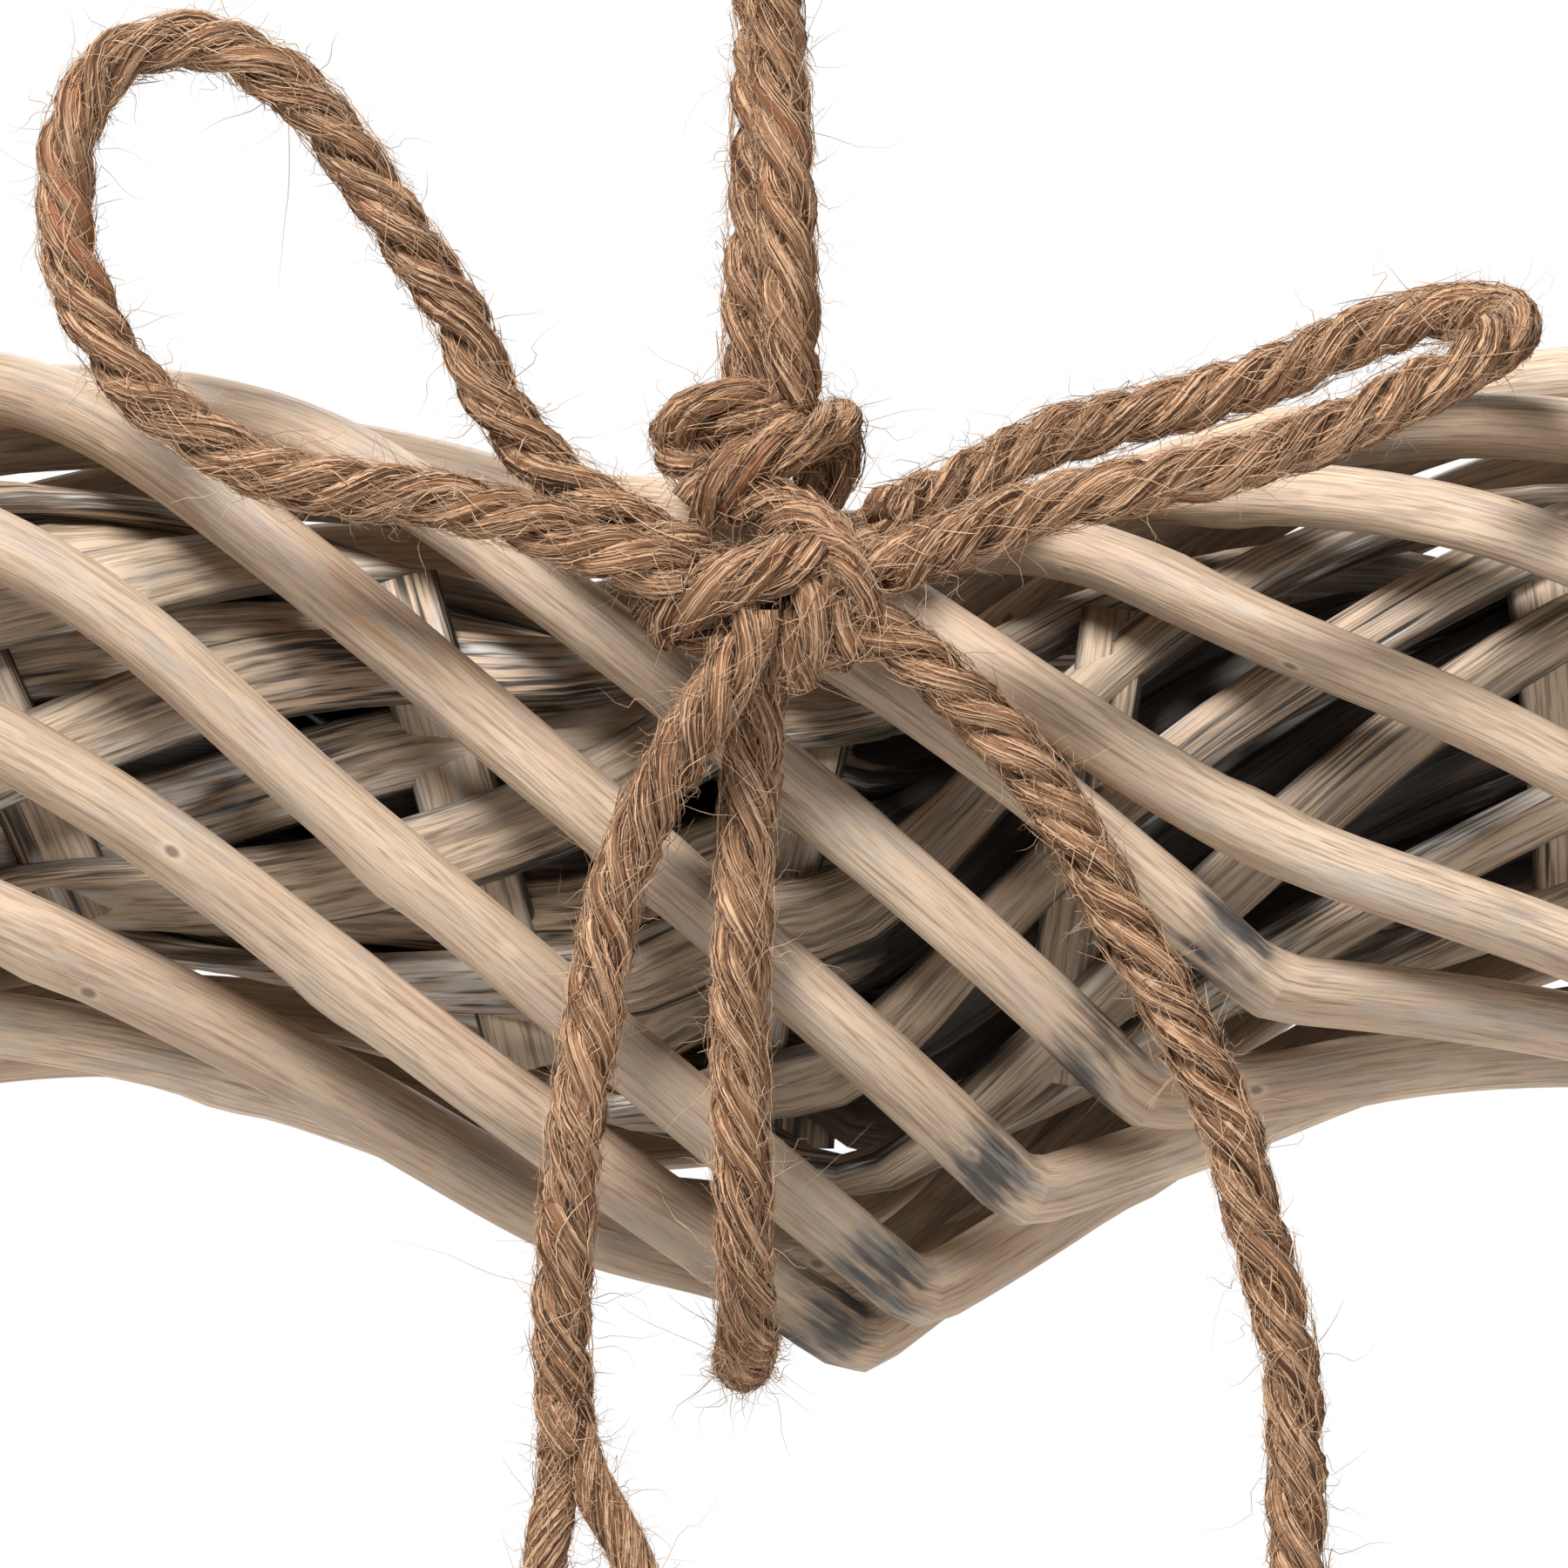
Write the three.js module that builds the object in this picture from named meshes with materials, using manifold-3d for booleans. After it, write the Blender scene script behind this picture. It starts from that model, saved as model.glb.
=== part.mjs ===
// Open heart of wound willow rods that hangs on jute rope tied in a bow.
// Millimetres, +Z up, the front towards -Y, the origin where a hook carries the hanging loop.
import * as THREE from 'three';
import { mergeVertices } from 'three/addons/utils/BufferGeometryUtils.js';
import Module from 'manifold-3d';

const wasm = await Module();
wasm.setup();

// Heart outline, on the middle line of the band
const HEART_X = 2;
const LOBE_RADIUS = 142;
const LOBE_SPREAD = 70;
const LOBE_Z = -249.3;
const TIP_Z = -500;
const CORNER_BLEND = 120;
const NOTCH_FLATTEN = { depth: 7.5, reach: 80, cornerAt: -5, corner: 10, cornerShare: 0.97 };

// Wound rods: an oval section, and the angle that each rod turns through along the band
const ROD_COUNT = 14;
const ROD_HALF_WIDTH = 33;
const ROD_HALF_DEPTH = 24;
const ROD_BUTT_RADIUS = 3.55;
const ROD_TIP_RADIUS = 3.0;
const ROD_SIDES = 6;
const ROD_FIRST_ANGLE = 14;
const ROD_TURN = 1080;
const ROD_END_GAP = 3;
const AFTER_NOTCH = { length: 46, turn: 62 };
const BEFORE_NOTCH = { length: 110, turn: 84 };
const KINK_PLACE = { first: 5, perDegree: 0.48, middle: 61, nearest: 7, furthest: 55 };
const SPREAD = { front: 17, left: 17, leftFrom: [-300, -170], leftTo: [-20, 40] };
const LEFT_STRAY = { turn: -21, rise: [-170, -75], from: [-180, -50], to: [14, 39] };
const RIGHT_STRAY = { turn: 7, full: 45, fade: [70, 130], from: [91, 180], to: [-56, -38] };

// Rods that cross the notch in a line, by their angle at the notch
const FRONT_LINE = { bow: 4, bowTo: [14, 40], from: [-56, -38], to: [68, 90] };
const LINE_START = { first: -70, perDegree: 0.93, middle: 14 };
const UPPER_LINE = { end: 48, from: [-88, -64], to: [-56, -38] };
const ROD_STATIONS = [0, 12, 26, 46, 76, 118, 168, 220, 272, 324, 376, 428, 484, 544, 604];

// Flat strips of the lining, wound the other way inside the rods
const STRIP_COUNT = 8;
const STRIP_HALF_WIDTH = 21.5;
const STRIP_HALF_DEPTH = 13.5;
const STRIP_WIDTH = 7.2;
const STRIP_THICKNESS = 2.4;
const STRIP_TURN = -1080;
const STRIP_AFTER_NOTCH = { length: 100, turn: -145 };
const STRIP_BEFORE_NOTCH = { length: 75, turn: -100 };
const STRIP_END_GAP = 3;
const STRIP_STATIONS = [0, 20, 44, 72, 110, 155, 200, 245, 290, 335, 380, 425, 470, 520, 575];

// Jute rope
const ROPE_RADIUS = 3;
const ROPE_SIDES = 6;
const PLY_RADIUS = 2.1;
const KNOT_SIDES = 6;
const KNOT_STEP = 6;
const KNOT_CLEARANCE = 0.4;

const WILLOW = { color: 0xb99d7c, roughness: 0.75, metalness: 0 };
const SPLIT_WILLOW = { color: 0x8d7a62, roughness: 0.85, metalness: 0 };
const JUTE = { color: 0xa67d57, roughness: 0.95, metalness: 0 };

const DEGREE = Math.PI / 180;
const FRONT_TO_BACK = new THREE.Vector3(1, -1, 1);
const TIP_DROP = LOBE_Z - TIP_Z;
const TIP_REACH = Math.hypot(LOBE_SPREAD, TIP_DROP);
const SIDE_ANGLE = Math.asin(LOBE_RADIUS / TIP_REACH) + Math.atan2(LOBE_SPREAD, TIP_DROP);
const SIDE_LENGTH = Math.sqrt(TIP_REACH ** 2 - LOBE_RADIUS ** 2);
const ARC_LENGTH = LOBE_RADIUS * (notchAngle(LOBE_RADIUS) + SIDE_ANGLE);
const HALF_LAP = ARC_LENGTH + SIDE_LENGTH;
const LAP = 2 * HALF_LAP;

// The band

// Angle at a lobe's centre where a circle of this radius meets the middle of the heart.
function notchAngle(radius) {
  return Math.PI / 2 + Math.asin(LOBE_SPREAD / radius);
}

// Distance along the band from the notch, from -HALF_LAP on the left to HALF_LAP on the right.
function fromNotch(s) {
  return THREE.MathUtils.euclideanModulo(s + HALF_LAP, LAP) - HALF_LAP;
}

// The lobes run into the notch straighter than their circles, except in the corner itself.
function flattening(signed) {
  const { depth, reach, cornerAt, corner, cornerShare } = NOTCH_FLATTEN;
  const wide = Math.max(0, 1 - (signed / reach) ** 2);
  return depth * wide * (1 - cornerShare * Math.exp(-(((signed - cornerAt) / corner) ** 2)));
}

// Point at a distance along the band, offset towards the heart's opening and towards its front.
function bandPoint(s, inward, forward) {
  const signed = fromNotch(s);
  const side = signed < 0 ? -1 : 1;
  const along = Math.abs(signed);
  if (along <= ARC_LENGTH) {
    const radius = LOBE_RADIUS - inward - flattening(signed);
    const shear = notchAngle(radius) - notchAngle(LOBE_RADIUS);
    const fade = Math.max(0, 1 - along / CORNER_BLEND);
    const angle = notchAngle(LOBE_RADIUS) - along / LOBE_RADIUS + shear * fade;
    const x = LOBE_SPREAD + radius * Math.cos(angle);
    return new THREE.Vector3(HEART_X + side * x, -forward, LOBE_Z + radius * Math.sin(angle));
  }
  const toTip = HALF_LAP - along;
  const fade = Math.max(0, 1 - toTip / CORNER_BLEND);
  const reach = toTip + (inward / Math.tan(SIDE_ANGLE)) * fade;
  const x = reach * Math.sin(SIDE_ANGLE) - inward * Math.cos(SIDE_ANGLE);
  const z = TIP_Z + reach * Math.cos(SIDE_ANGLE) + inward * Math.sin(SIDE_ANGLE);
  return new THREE.Vector3(HEART_X + side * x, -forward, z);
}

// Angle turned since the notch: one rate just after it, one just before it and one elsewhere.
function turnAlong(s, total, after, before) {
  const laps = Math.floor(s / LAP);
  const rest = s - laps * LAP;
  const plainLength = LAP - after.length - before.length;
  const plainTurn = total - after.turn - before.turn;
  const first = Math.min(rest, after.length) / after.length;
  const plain = THREE.MathUtils.clamp(rest - after.length, 0, plainLength) / plainLength;
  const last = Math.max(0, rest - after.length - plainLength) / before.length;
  return laps * total + first * after.turn + plain * plainTurn + last * before.turn;
}

// Rods

function smooth(value, range) {
  return THREE.MathUtils.smoothstep(value, ...range);
}

// How far a value lies past the first range and not yet past the second, from 0 to 1.
function shareBetween(value, from, to) {
  return smooth(value, from) * (1 - smooth(value, to));
}

// Angle of a rod round the band at the notch, from -180 to 180, with 0 at the front.
function rodNotchAngle(index) {
  const degrees = ROD_FIRST_ANGLE + (index * 360) / ROD_COUNT;
  return THREE.MathUtils.euclideanModulo(degrees + 180, 360) - 180;
}

function kinkPlace(degrees) {
  const place = KINK_PLACE.first + KINK_PLACE.perDegree * (KINK_PLACE.middle - degrees);
  return THREE.MathUtils.clamp(place, KINK_PLACE.nearest, KINK_PLACE.furthest);
}

// Turn that parts the upper rods from the lower ones on the left and brings them down on the right.
function strayAlong(s, degrees) {
  const along = fromNotch(s);
  if (along < 0) {
    const share = shareBetween(degrees, LEFT_STRAY.from, LEFT_STRAY.to);
    const reach = smooth(along, LEFT_STRAY.rise) * Math.min(along / LEFT_STRAY.rise[1], 1);
    return LEFT_STRAY.turn * share * reach;
  }
  const share = 1 - smooth(degrees, RIGHT_STRAY.to) + smooth(degrees, RIGHT_STRAY.from);
  const reach = Math.min(along / RIGHT_STRAY.full, 1 - smooth(along, RIGHT_STRAY.fade));
  return RIGHT_STRAY.turn * share * reach;
}

// Point of a rod on the band's oval; the rods lie further apart across its front.
function woundPoint(index, s, scale) {
  const degrees = rodNotchAngle(index);
  const wound = turnAlong(s, ROD_TURN, AFTER_NOTCH, BEFORE_NOTCH);
  const even = (degrees + wound + strayAlong(s, degrees)) * DEGREE;
  const left = shareBetween(fromNotch(s), SPREAD.leftFrom, SPREAD.leftTo);
  const spread = (SPREAD.front + SPREAD.left * left) * DEGREE;
  const angle = even + (spread * Math.sin(even) * (1 + Math.cos(even))) / 2;
  const inward = ROD_HALF_WIDTH * Math.sin(angle);
  return bandPoint(s, scale * inward, scale * ROD_HALF_DEPTH * Math.cos(angle));
}

// Moves a point towards a line between two places of its rod, on the front half of the oval.
function straighten(point, index, along, scale, firstAt, lastAt, bow, strength) {
  const share = (along - firstAt) / (lastAt - firstAt);
  const line = woundPoint(index, firstAt, scale).lerp(woundPoint(index, lastAt, scale), share);
  line.z += 4 * bow * share * (1 - share);
  line.y = 0;
  const middle = bandPoint(along, 0, 0);
  const edge = bandPoint(along, scale * ROD_HALF_WIDTH, 0).sub(middle);
  const across = line.clone().sub(middle).dot(edge) / edge.lengthSq();
  line.y = -scale * ROD_HALF_DEPTH * Math.sqrt(Math.max(0, 1 - across ** 2));
  point.lerp(line, strength);
}

// Rods cross the notch almost straight: the front ones up to their kinks, one more above them.
function rodPoint(index, s, scale = 1) {
  const point = woundPoint(index, s, scale);
  const degrees = rodNotchAngle(index);
  const kinkAt = kinkPlace(degrees);
  const along = fromNotch(s);
  const lineStart = LINE_START.first + LINE_START.perDegree * Math.max(0, LINE_START.middle - degrees);
  if (along > lineStart && along < kinkAt) {
    const bow = FRONT_LINE.bow * (1 - smooth(degrees, FRONT_LINE.bowTo));
    const strength = shareBetween(degrees, FRONT_LINE.from, FRONT_LINE.to);
    straighten(point, index, along, scale, lineStart, kinkAt, bow, strength);
  }
  if (along > 0 && along < UPPER_LINE.end) {
    const strength = shareBetween(degrees, UPPER_LINE.from, UPPER_LINE.to);
    straighten(point, index, along, scale, 0, UPPER_LINE.end, 0, strength);
  }
  return point;
}

// Each rod starts and ends at the back of the band, in a different place round the heart.
function rodStart(index) {
  const plainLength = LAP - AFTER_NOTCH.length - BEFORE_NOTCH.length;
  const plainRate = (ROD_TURN - AFTER_NOTCH.turn - BEFORE_NOTCH.turn) / plainLength;
  const back = THREE.MathUtils.euclideanModulo(180 - rodNotchAngle(index), 360);
  const turns = back < 120 ? 1 + (index % 2) : index % 2 + (back < 240 ? 1 : 0);
  return AFTER_NOTCH.length + (back + 360 * turns - AFTER_NOTCH.turn) / plainRate;
}

// Distances along the band from a start to one lap on, with the given ones between.
function lapStations(start, gap, stations) {
  const list = [start, start + LAP - gap];
  const mirrored = stations.concat(stations.slice(1).map((s) => -s), [HALF_LAP]);
  for (const s of mirrored) {
    const after = start + THREE.MathUtils.euclideanModulo(s - start, LAP);
    if (after - start > 12 && start + LAP - gap - after > 12) list.push(after);
  }
  return list.sort((a, b) => a - b);
}

// Sweeps along given points, with the section turned to given outward directions
class StationCurve extends THREE.Curve {
  constructor(points, outwards, scales) {
    super();
    this.points = points;
    this.outwards = outwards;
    this.scales = scales;
  }

  getPoint(t) {
    const place = t * (this.points.length - 1);
    const index = Math.min(Math.floor(place), this.points.length - 2);
    return this.points[index].clone().lerp(this.points[index + 1], place - index);
  }

  getSpacedPoints() {
    return this.points;
  }

  computeFrenetFrames() {
    const tangents = [];
    const normals = [];
    const binormals = [];
    const last = this.points.length - 1;
    this.points.forEach((point, i) => {
      const before = point.clone().sub(this.points[Math.max(0, i - 1)]).normalize();
      const after = this.points[Math.min(last, i + 1)].clone().sub(point).normalize();
      const tangent = before.add(after).normalize();
      const outward = this.outwards[i].clone();
      outward.addScaledVector(tangent, -outward.dot(tangent)).normalize();
      tangents.push(tangent);
      normals.push(outward.clone().multiplyScalar(this.scales[i]));
      binormals.push(tangent.clone().cross(outward).multiplyScalar(this.scales[i]));
    });
    return { tangents, normals, binormals };
  }
}

function roundSection(radius, sides) {
  const points = [];
  for (let i = 0; i < sides; i += 1) {
    const angle = ((i + 0.5) / sides) * 2 * Math.PI;
    points.push(new THREE.Vector2(radius * Math.cos(angle), radius * Math.sin(angle)));
  }
  return new THREE.Shape(points);
}

function flatSection(thickness, width) {
  const x = thickness / 2;
  const y = width / 2;
  return new THREE.Shape([
    new THREE.Vector2(-x, -y),
    new THREE.Vector2(x, -y),
    new THREE.Vector2(x, y),
    new THREE.Vector2(-x, y),
  ]);
}

// Radius of a regular section's corners that gives it nearly the round section's size.
function cornerRadius(radius, sides) {
  return radius * (0.5 + 0.5 / Math.cos(Math.PI / sides));
}

function sweepStations(section, points, outwards, scales) {
  const extrudePath = new StationCurve(points, outwards, scales);
  return new THREE.ExtrudeGeometry(section, { extrudePath, steps: points.length - 1 });
}

function makeRod(index) {
  const start = rodStart(index);
  const kinkAt = kinkPlace(rodNotchAngle(index));
  const others = ROD_STATIONS.filter((s) => Math.abs(s - kinkAt) > 5);
  const stations = lapStations(start, ROD_END_GAP, others.concat([kinkAt]));
  const points = stations.map((s) => rodPoint(index, s));
  const outwards = stations.map((s, i) => rodPoint(index, s, 1.1).sub(points[i]));
  const scales = stations.map((s) => {
    const share = (s - start) / LAP;
    return THREE.MathUtils.lerp(ROD_BUTT_RADIUS, ROD_TIP_RADIUS, share);
  });
  return sweepStations(roundSection(cornerRadius(1, ROD_SIDES), ROD_SIDES), points, outwards, scales);
}

// Lining

function stripPoint(index, s, scale = 1) {
  const first = (index * 360) / STRIP_COUNT;
  const turned = turnAlong(s, STRIP_TURN, STRIP_AFTER_NOTCH, STRIP_BEFORE_NOTCH);
  const angle = (first + turned) * DEGREE;
  const inward = STRIP_HALF_WIDTH * Math.sin(angle);
  return bandPoint(s, scale * inward, scale * STRIP_HALF_DEPTH * Math.cos(angle));
}

// A sweep's facets fold along one diagonal, which would pinch a flat strip that twists this way.
// So the strip's mirror image, front to back, is swept and then mirrored back.
function makeStrip(index) {
  const start = HALF_LAP * (0.45 + (index * 1.1) / STRIP_COUNT);
  const stations = lapStations(start, STRIP_END_GAP, STRIP_STATIONS);
  const points = stations.map((s) => stripPoint(index, s).multiply(FRONT_TO_BACK));
  const outwards = stations.map((s, i) => (
    stripPoint(index, s, 1.1).multiply(FRONT_TO_BACK).sub(points[i])
  ));
  const scales = stations.map(() => 1);
  const section = flatSection(STRIP_THICKNESS, STRIP_WIDTH);
  return mirrorBack(sweepStations(section, points, outwards, scales));
}

function mirrorBack(geometry) {
  geometry.scale(FRONT_TO_BACK.x, FRONT_TO_BACK.y, FRONT_TO_BACK.z);
  const position = geometry.getAttribute('position');
  const first = new THREE.Vector3();
  const second = new THREE.Vector3();
  for (let corner = 0; corner < position.count; corner += 3) {
    first.fromBufferAttribute(position, corner);
    second.fromBufferAttribute(position, corner + 1);
    position.setXYZ(corner, second.x, second.y, second.z);
    position.setXYZ(corner + 1, first.x, first.y, first.z);
  }
  return geometry;
}

// Solids

function solidOf(geometry) {
  const bare = geometry.clone();
  bare.deleteAttribute('normal');
  bare.deleteAttribute('uv');
  const merged = mergeVertices(bare, 1e-4);
  const vertProperties = new Float32Array(merged.getAttribute('position').array);
  const triVerts = new Uint32Array(merged.getIndex().array);
  return new wasm.Manifold(new wasm.Mesh({ numProp: 3, vertProperties, triVerts }));
}

function geometryOf(solid) {
  const mesh = solid.getMesh();
  const geometry = new THREE.BufferGeometry();
  geometry.setAttribute('position', new THREE.BufferAttribute(mesh.vertProperties, 3));
  geometry.setIndex(new THREE.BufferAttribute(mesh.triVerts, 1));
  geometry.computeVertexNormals();
  return geometry;
}

function joined(solids) {
  return solids.reduce((sum, solid) => sum.add(solid));
}

// What is left of a solid outside another, without the scraps.
function cutBack(solid, tool) {
  const pieces = solid.subtract(tool).decompose();
  return pieces.sort((a, b) => b.volume() - a.volume())[0];
}

// Rope

function ropeCurve(route) {
  return new THREE.CatmullRomCurve3(route.map((p) => new THREE.Vector3(...p)), false, 'centripetal');
}

function ropeTube(route, steps, radius = ROPE_RADIUS, sides = ROPE_SIDES) {
  const section = roundSection(cornerRadius(radius, sides), sides);
  return solidOf(new THREE.ExtrudeGeometry(section, { extrudePath: ropeCurve(route), steps }));
}

function knotOf(turns, clearance) {
  return joined(turns.map((route) => {
    const steps = Math.max(2, Math.round(ropeCurve(route).getLength() / KNOT_STEP));
    return ropeTube(route, steps, ROPE_RADIUS + clearance, KNOT_SIDES);
  }));
}

// Turns of rope in the knot under the hanging loop, and in the bow's knot
const HANGER_KNOT_TURNS = [
  [[-8.6, -18.5, -88.5], [-4.7, -21, -85], [1.2, -20.5, -82], [5, -15, -80.6], [4.2, -8.5, -81.4]],
  [[4.2, -8.5, -81.4], [-2.5, -6, -81.2], [-9, -8, -80.8], [-10.3, -13.2, -82], [-7.6, -17, -85.4]],
  [[-10, -12.5, -81.5], [-8.6, -16, -79.4], [-5, -17.5, -78.6], [-0.6, -16, -79.4]],
  [[4.6, -13, -78.6], [4.7, -13, -84], [2.6, -17, -87.5]],
];
const BOW_KNOT_TURNS = [
  [[-5, -19, -87], [0.5, -24, -89], [5, -31, -93], [7, -34, -97.5], [6.6, -33, -102.5]],
  [[2.6, -34, -93.4], [-3.6, -37.5, -95.2], [-8.8, -36.5, -97.6], [-12, -31.5, -99.6]],
  [[2.6, -33, -94.5], [1.8, -35.5, -99.5], [0.6, -33.8, -105]],
  [[-10, -32, -94], [0, -30.5, -95.5], [9.2, -29, -93]],
  [[-9, -31.5, -99.5], [-2, -32, -101.5], [6, -32, -101.5]],
];

// Rope routes, each with the number of steps along it
const HANGING_LOOP = {
  steps: 19,
  route: [
    [0.8, -16.6, -79], [0.6, -16, -70], [0.3, -14.6, -60], [-0.3, -13, -50], [-0.8, -12.4, -40],
    [-0.6, -12.9, -28], [-0.2, -12.6, -15], [0, -10.2, -5.5], [0, -5.6, 0.9], [0, 0, 3],
    [0, 5.6, 0.9], [-0.1, 10.2, -5.5], [-0.6, 11.6, -14], [-1.3, 8.6, -25], [-2, 2.4, -36],
    [-2.3, -3.6, -47], [-2.7, -7.4, -58], [-3.1, -9.2, -68], [-3.3, -10.2, -79],
  ],
};
const BOW_LEFT_LOOP = {
  steps: 14,
  route: [
    [-8.3, -31, -93.3], [-15, -30.5, -90], [-21.7, -30, -85.4], [-27.8, -29.5, -78.3],
    [-31, -29, -70.3], [-36.8, -29, -61.7], [-42.2, -29, -53.8], [-47.9, -29.2, -47.6],
    [-57.2, -29.6, -43.8], [-64.5, -30, -46.3], [-68.2, -30.3, -52.6], [-68.8, -30.6, -59.2],
    [-68, -30.9, -65.5], [-65.4, -31.2, -71.9], [-61.6, -31.6, -77.3], [-55.8, -32.2, -81.8],
    [-49.5, -32.8, -85.3], [-41.5, -33.6, -86.9], [-33.6, -34.6, -87.8], [-25, -35.7, -90],
    [-16.7, -36.4, -92.9], [-9.2, -36.4, -95.4],
  ],
};
const BOW_RIGHT_LOOP = {
  steps: 12,
  route: [
    [8.3, -25, -90], [13.3, -20.5, -87.6], [19.7, -17, -84.7], [25, -15.2, -81.8],
    [33, -14, -79.6], [40.9, -13.4, -77.5], [49.2, -13.4, -74.6], [57, -14.6, -71.2],
    [64, -18, -69.6], [68.6, -23, -69.8], [69.7, -28.4, -71.2], [67.6, -34, -73.4],
    [62.4, -38.4, -76.4], [50.5, -41.6, -82], [37.8, -42, -85.9], [25, -40.6, -88.5],
    [16.7, -38, -91.7], [9.6, -34, -94.4],
  ],
};
const LEFT_TAIL = {
  steps: 7,
  route: [
    [-2.4, -36.2, -98.5], [-5.4, -38, -105], [-9.2, -36, -110.8], [-12.9, -33.6, -117.5],
    [-15.7, -32, -124.2], [-17.3, -31.5, -131.7], [-18.7, -31.5, -140], [-20, -31.5, -148.3],
    [-20.8, -31.5, -156.7], [-21.2, -31.5, -165], [-21, -31.5, -173.3], [-20.7, -31.5, -179],
  ],
};
const LEFT_TAIL_OUTER_PLY = {
  steps: 4,
  route: [
    [-20.9, -31.5, -174], [-21.4, -31.4, -181], [-22.6, -31.2, -187.5], [-23.3, -31, -193.5],
    [-23.8, -30.8, -200.8], [-24, -30.6, -206],
  ],
};
const LEFT_TAIL_INNER_PLY = {
  steps: 4,
  route: [
    [-20.7, -31.6, -175], [-18.6, -32, -181.5], [-15, -32.2, -188], [-12.6, -32.2, -194.5],
    [-11.2, -32, -201],
  ],
};
const RIGHT_TAIL = {
  steps: 9,
  route: [
    [7, -33, -98.5], [10.5, -33.4, -101.2], [13.3, -33.2, -103.3], [18.3, -32.4, -107.9],
    [23.3, -31.8, -113.3], [27.9, -31.5, -120], [32.1, -31.5, -127.5], [35.4, -31.5, -133.3],
    [39, -31.5, -140], [42.8, -31.5, -148], [44.8, -31.5, -155.9], [47, -31.5, -163.9],
    [48.6, -31.5, -171.9], [48.9, -31.5, -179.8], [49.1, -31.5, -187.8], [49.3, -31.5, -195.8],
    [49.6, -31.5, -205], [50, -31.5, -210],
  ],
};
const BAND_WRAP = {
  steps: 20,
  route: [
    [-1.2, -31, -100], [-2.6, -31, -107], [-3.2, -31, -115], [-3.9, -31, -127.5],
    [-4.2, -31, -140], [-4, -31, -150.5], [-3.8, -29.4, -160], [-3.6, -23.5, -166.6],
    [-3.9, -12, -170.4], [-3.9, 0, -171.3], [-3.5, 12, -170.4], [-2.8, 23.5, -166.6],
    [-2.6, 29.6, -159], [-2.6, 31.2, -148], [-2.6, 31.2, -130], [-2.6, 31.2, -110],
    [-2.6, 29.4, -97], [-2.6, 23.6, -88], [-2.6, 12, -82.6], [-2.6, 2, -81.6], [-2.8, -8, -83.2],
  ],
};

// Assembly

const group = new THREE.Group();

function addPiece(name, geometry, look) {
  const mesh = new THREE.Mesh(geometry, new THREE.MeshStandardMaterial(look));
  mesh.name = name;
  group.add(mesh);
}

function numbered(prefix, index) {
  return `${prefix}_${String(index + 1).padStart(2, '0')}`;
}

for (let i = 0; i < ROD_COUNT; i += 1) addPiece(numbered('rod', i), makeRod(i), WILLOW);
for (let i = 0; i < STRIP_COUNT; i += 1) addPiece(numbered('strip', i), makeStrip(i), SPLIT_WILLOW);

const hangerKnot = knotOf(HANGER_KNOT_TURNS, 0);
const hangerKnotRoom = knotOf(HANGER_KNOT_TURNS, KNOT_CLEARANCE);
const bowKnot = cutBack(knotOf(BOW_KNOT_TURNS, 0), hangerKnotRoom);
const knotRoom = hangerKnotRoom.add(knotOf(BOW_KNOT_TURNS, KNOT_CLEARANCE));
const leftTail = joined([
  ropeTube(LEFT_TAIL.route, LEFT_TAIL.steps),
  ropeTube(LEFT_TAIL_OUTER_PLY.route, LEFT_TAIL_OUTER_PLY.steps, PLY_RADIUS),
  ropeTube(LEFT_TAIL_INNER_PLY.route, LEFT_TAIL_INNER_PLY.steps, PLY_RADIUS),
]);
const ropes = {
  hanging_loop: ropeTube(HANGING_LOOP.route, HANGING_LOOP.steps),
  bow_left_loop: ropeTube(BOW_LEFT_LOOP.route, BOW_LEFT_LOOP.steps),
  bow_right_loop: ropeTube(BOW_RIGHT_LOOP.route, BOW_RIGHT_LOOP.steps),
  bow_left_tail: leftTail,
  bow_right_tail: ropeTube(RIGHT_TAIL.route, RIGHT_TAIL.steps),
  band_wrap: ropeTube(BAND_WRAP.route, BAND_WRAP.steps),
};

addPiece('hanger_knot', geometryOf(hangerKnot), JUTE);
addPiece('bow_knot', geometryOf(bowKnot), JUTE);
for (const [name, rope] of Object.entries(ropes)) {
  addPiece(name, geometryOf(cutBack(rope, knotRoom)), JUTE);
}

export default group;
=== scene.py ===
"""Wicker heart: weathered willow rods wound over a woven lining, hung on jute rope tied in a bow.

Metres, +Z up, the front towards -Y, the origin where a hook carries the hanging loop.
"""
import math
import random

import bmesh
import bpy
import numpy as np
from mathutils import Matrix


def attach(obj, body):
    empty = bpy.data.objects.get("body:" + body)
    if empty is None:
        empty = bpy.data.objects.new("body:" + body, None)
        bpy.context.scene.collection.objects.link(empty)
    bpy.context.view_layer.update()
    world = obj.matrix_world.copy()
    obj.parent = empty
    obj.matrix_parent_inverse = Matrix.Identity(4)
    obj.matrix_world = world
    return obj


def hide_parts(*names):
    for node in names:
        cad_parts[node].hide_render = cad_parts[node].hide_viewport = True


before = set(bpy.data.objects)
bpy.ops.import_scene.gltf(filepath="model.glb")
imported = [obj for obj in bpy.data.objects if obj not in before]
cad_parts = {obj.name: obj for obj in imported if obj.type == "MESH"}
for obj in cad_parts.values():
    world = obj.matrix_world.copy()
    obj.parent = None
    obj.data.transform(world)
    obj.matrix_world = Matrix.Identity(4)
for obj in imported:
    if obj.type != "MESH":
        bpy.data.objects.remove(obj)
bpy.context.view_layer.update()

# Heart outline, on the middle line of the band
HEART_X = 0.002
LOBE_RADIUS = 0.142
LOBE_SPREAD = 0.070
LOBE_Z = -0.2493
TIP_Z = -0.500
CORNER_BLEND = 0.120
FLATTEN_DEPTH = 0.0075
FLATTEN_REACH = 0.080
FLATTEN_CORNER_AT = -0.005
FLATTEN_CORNER = 0.010
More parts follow.
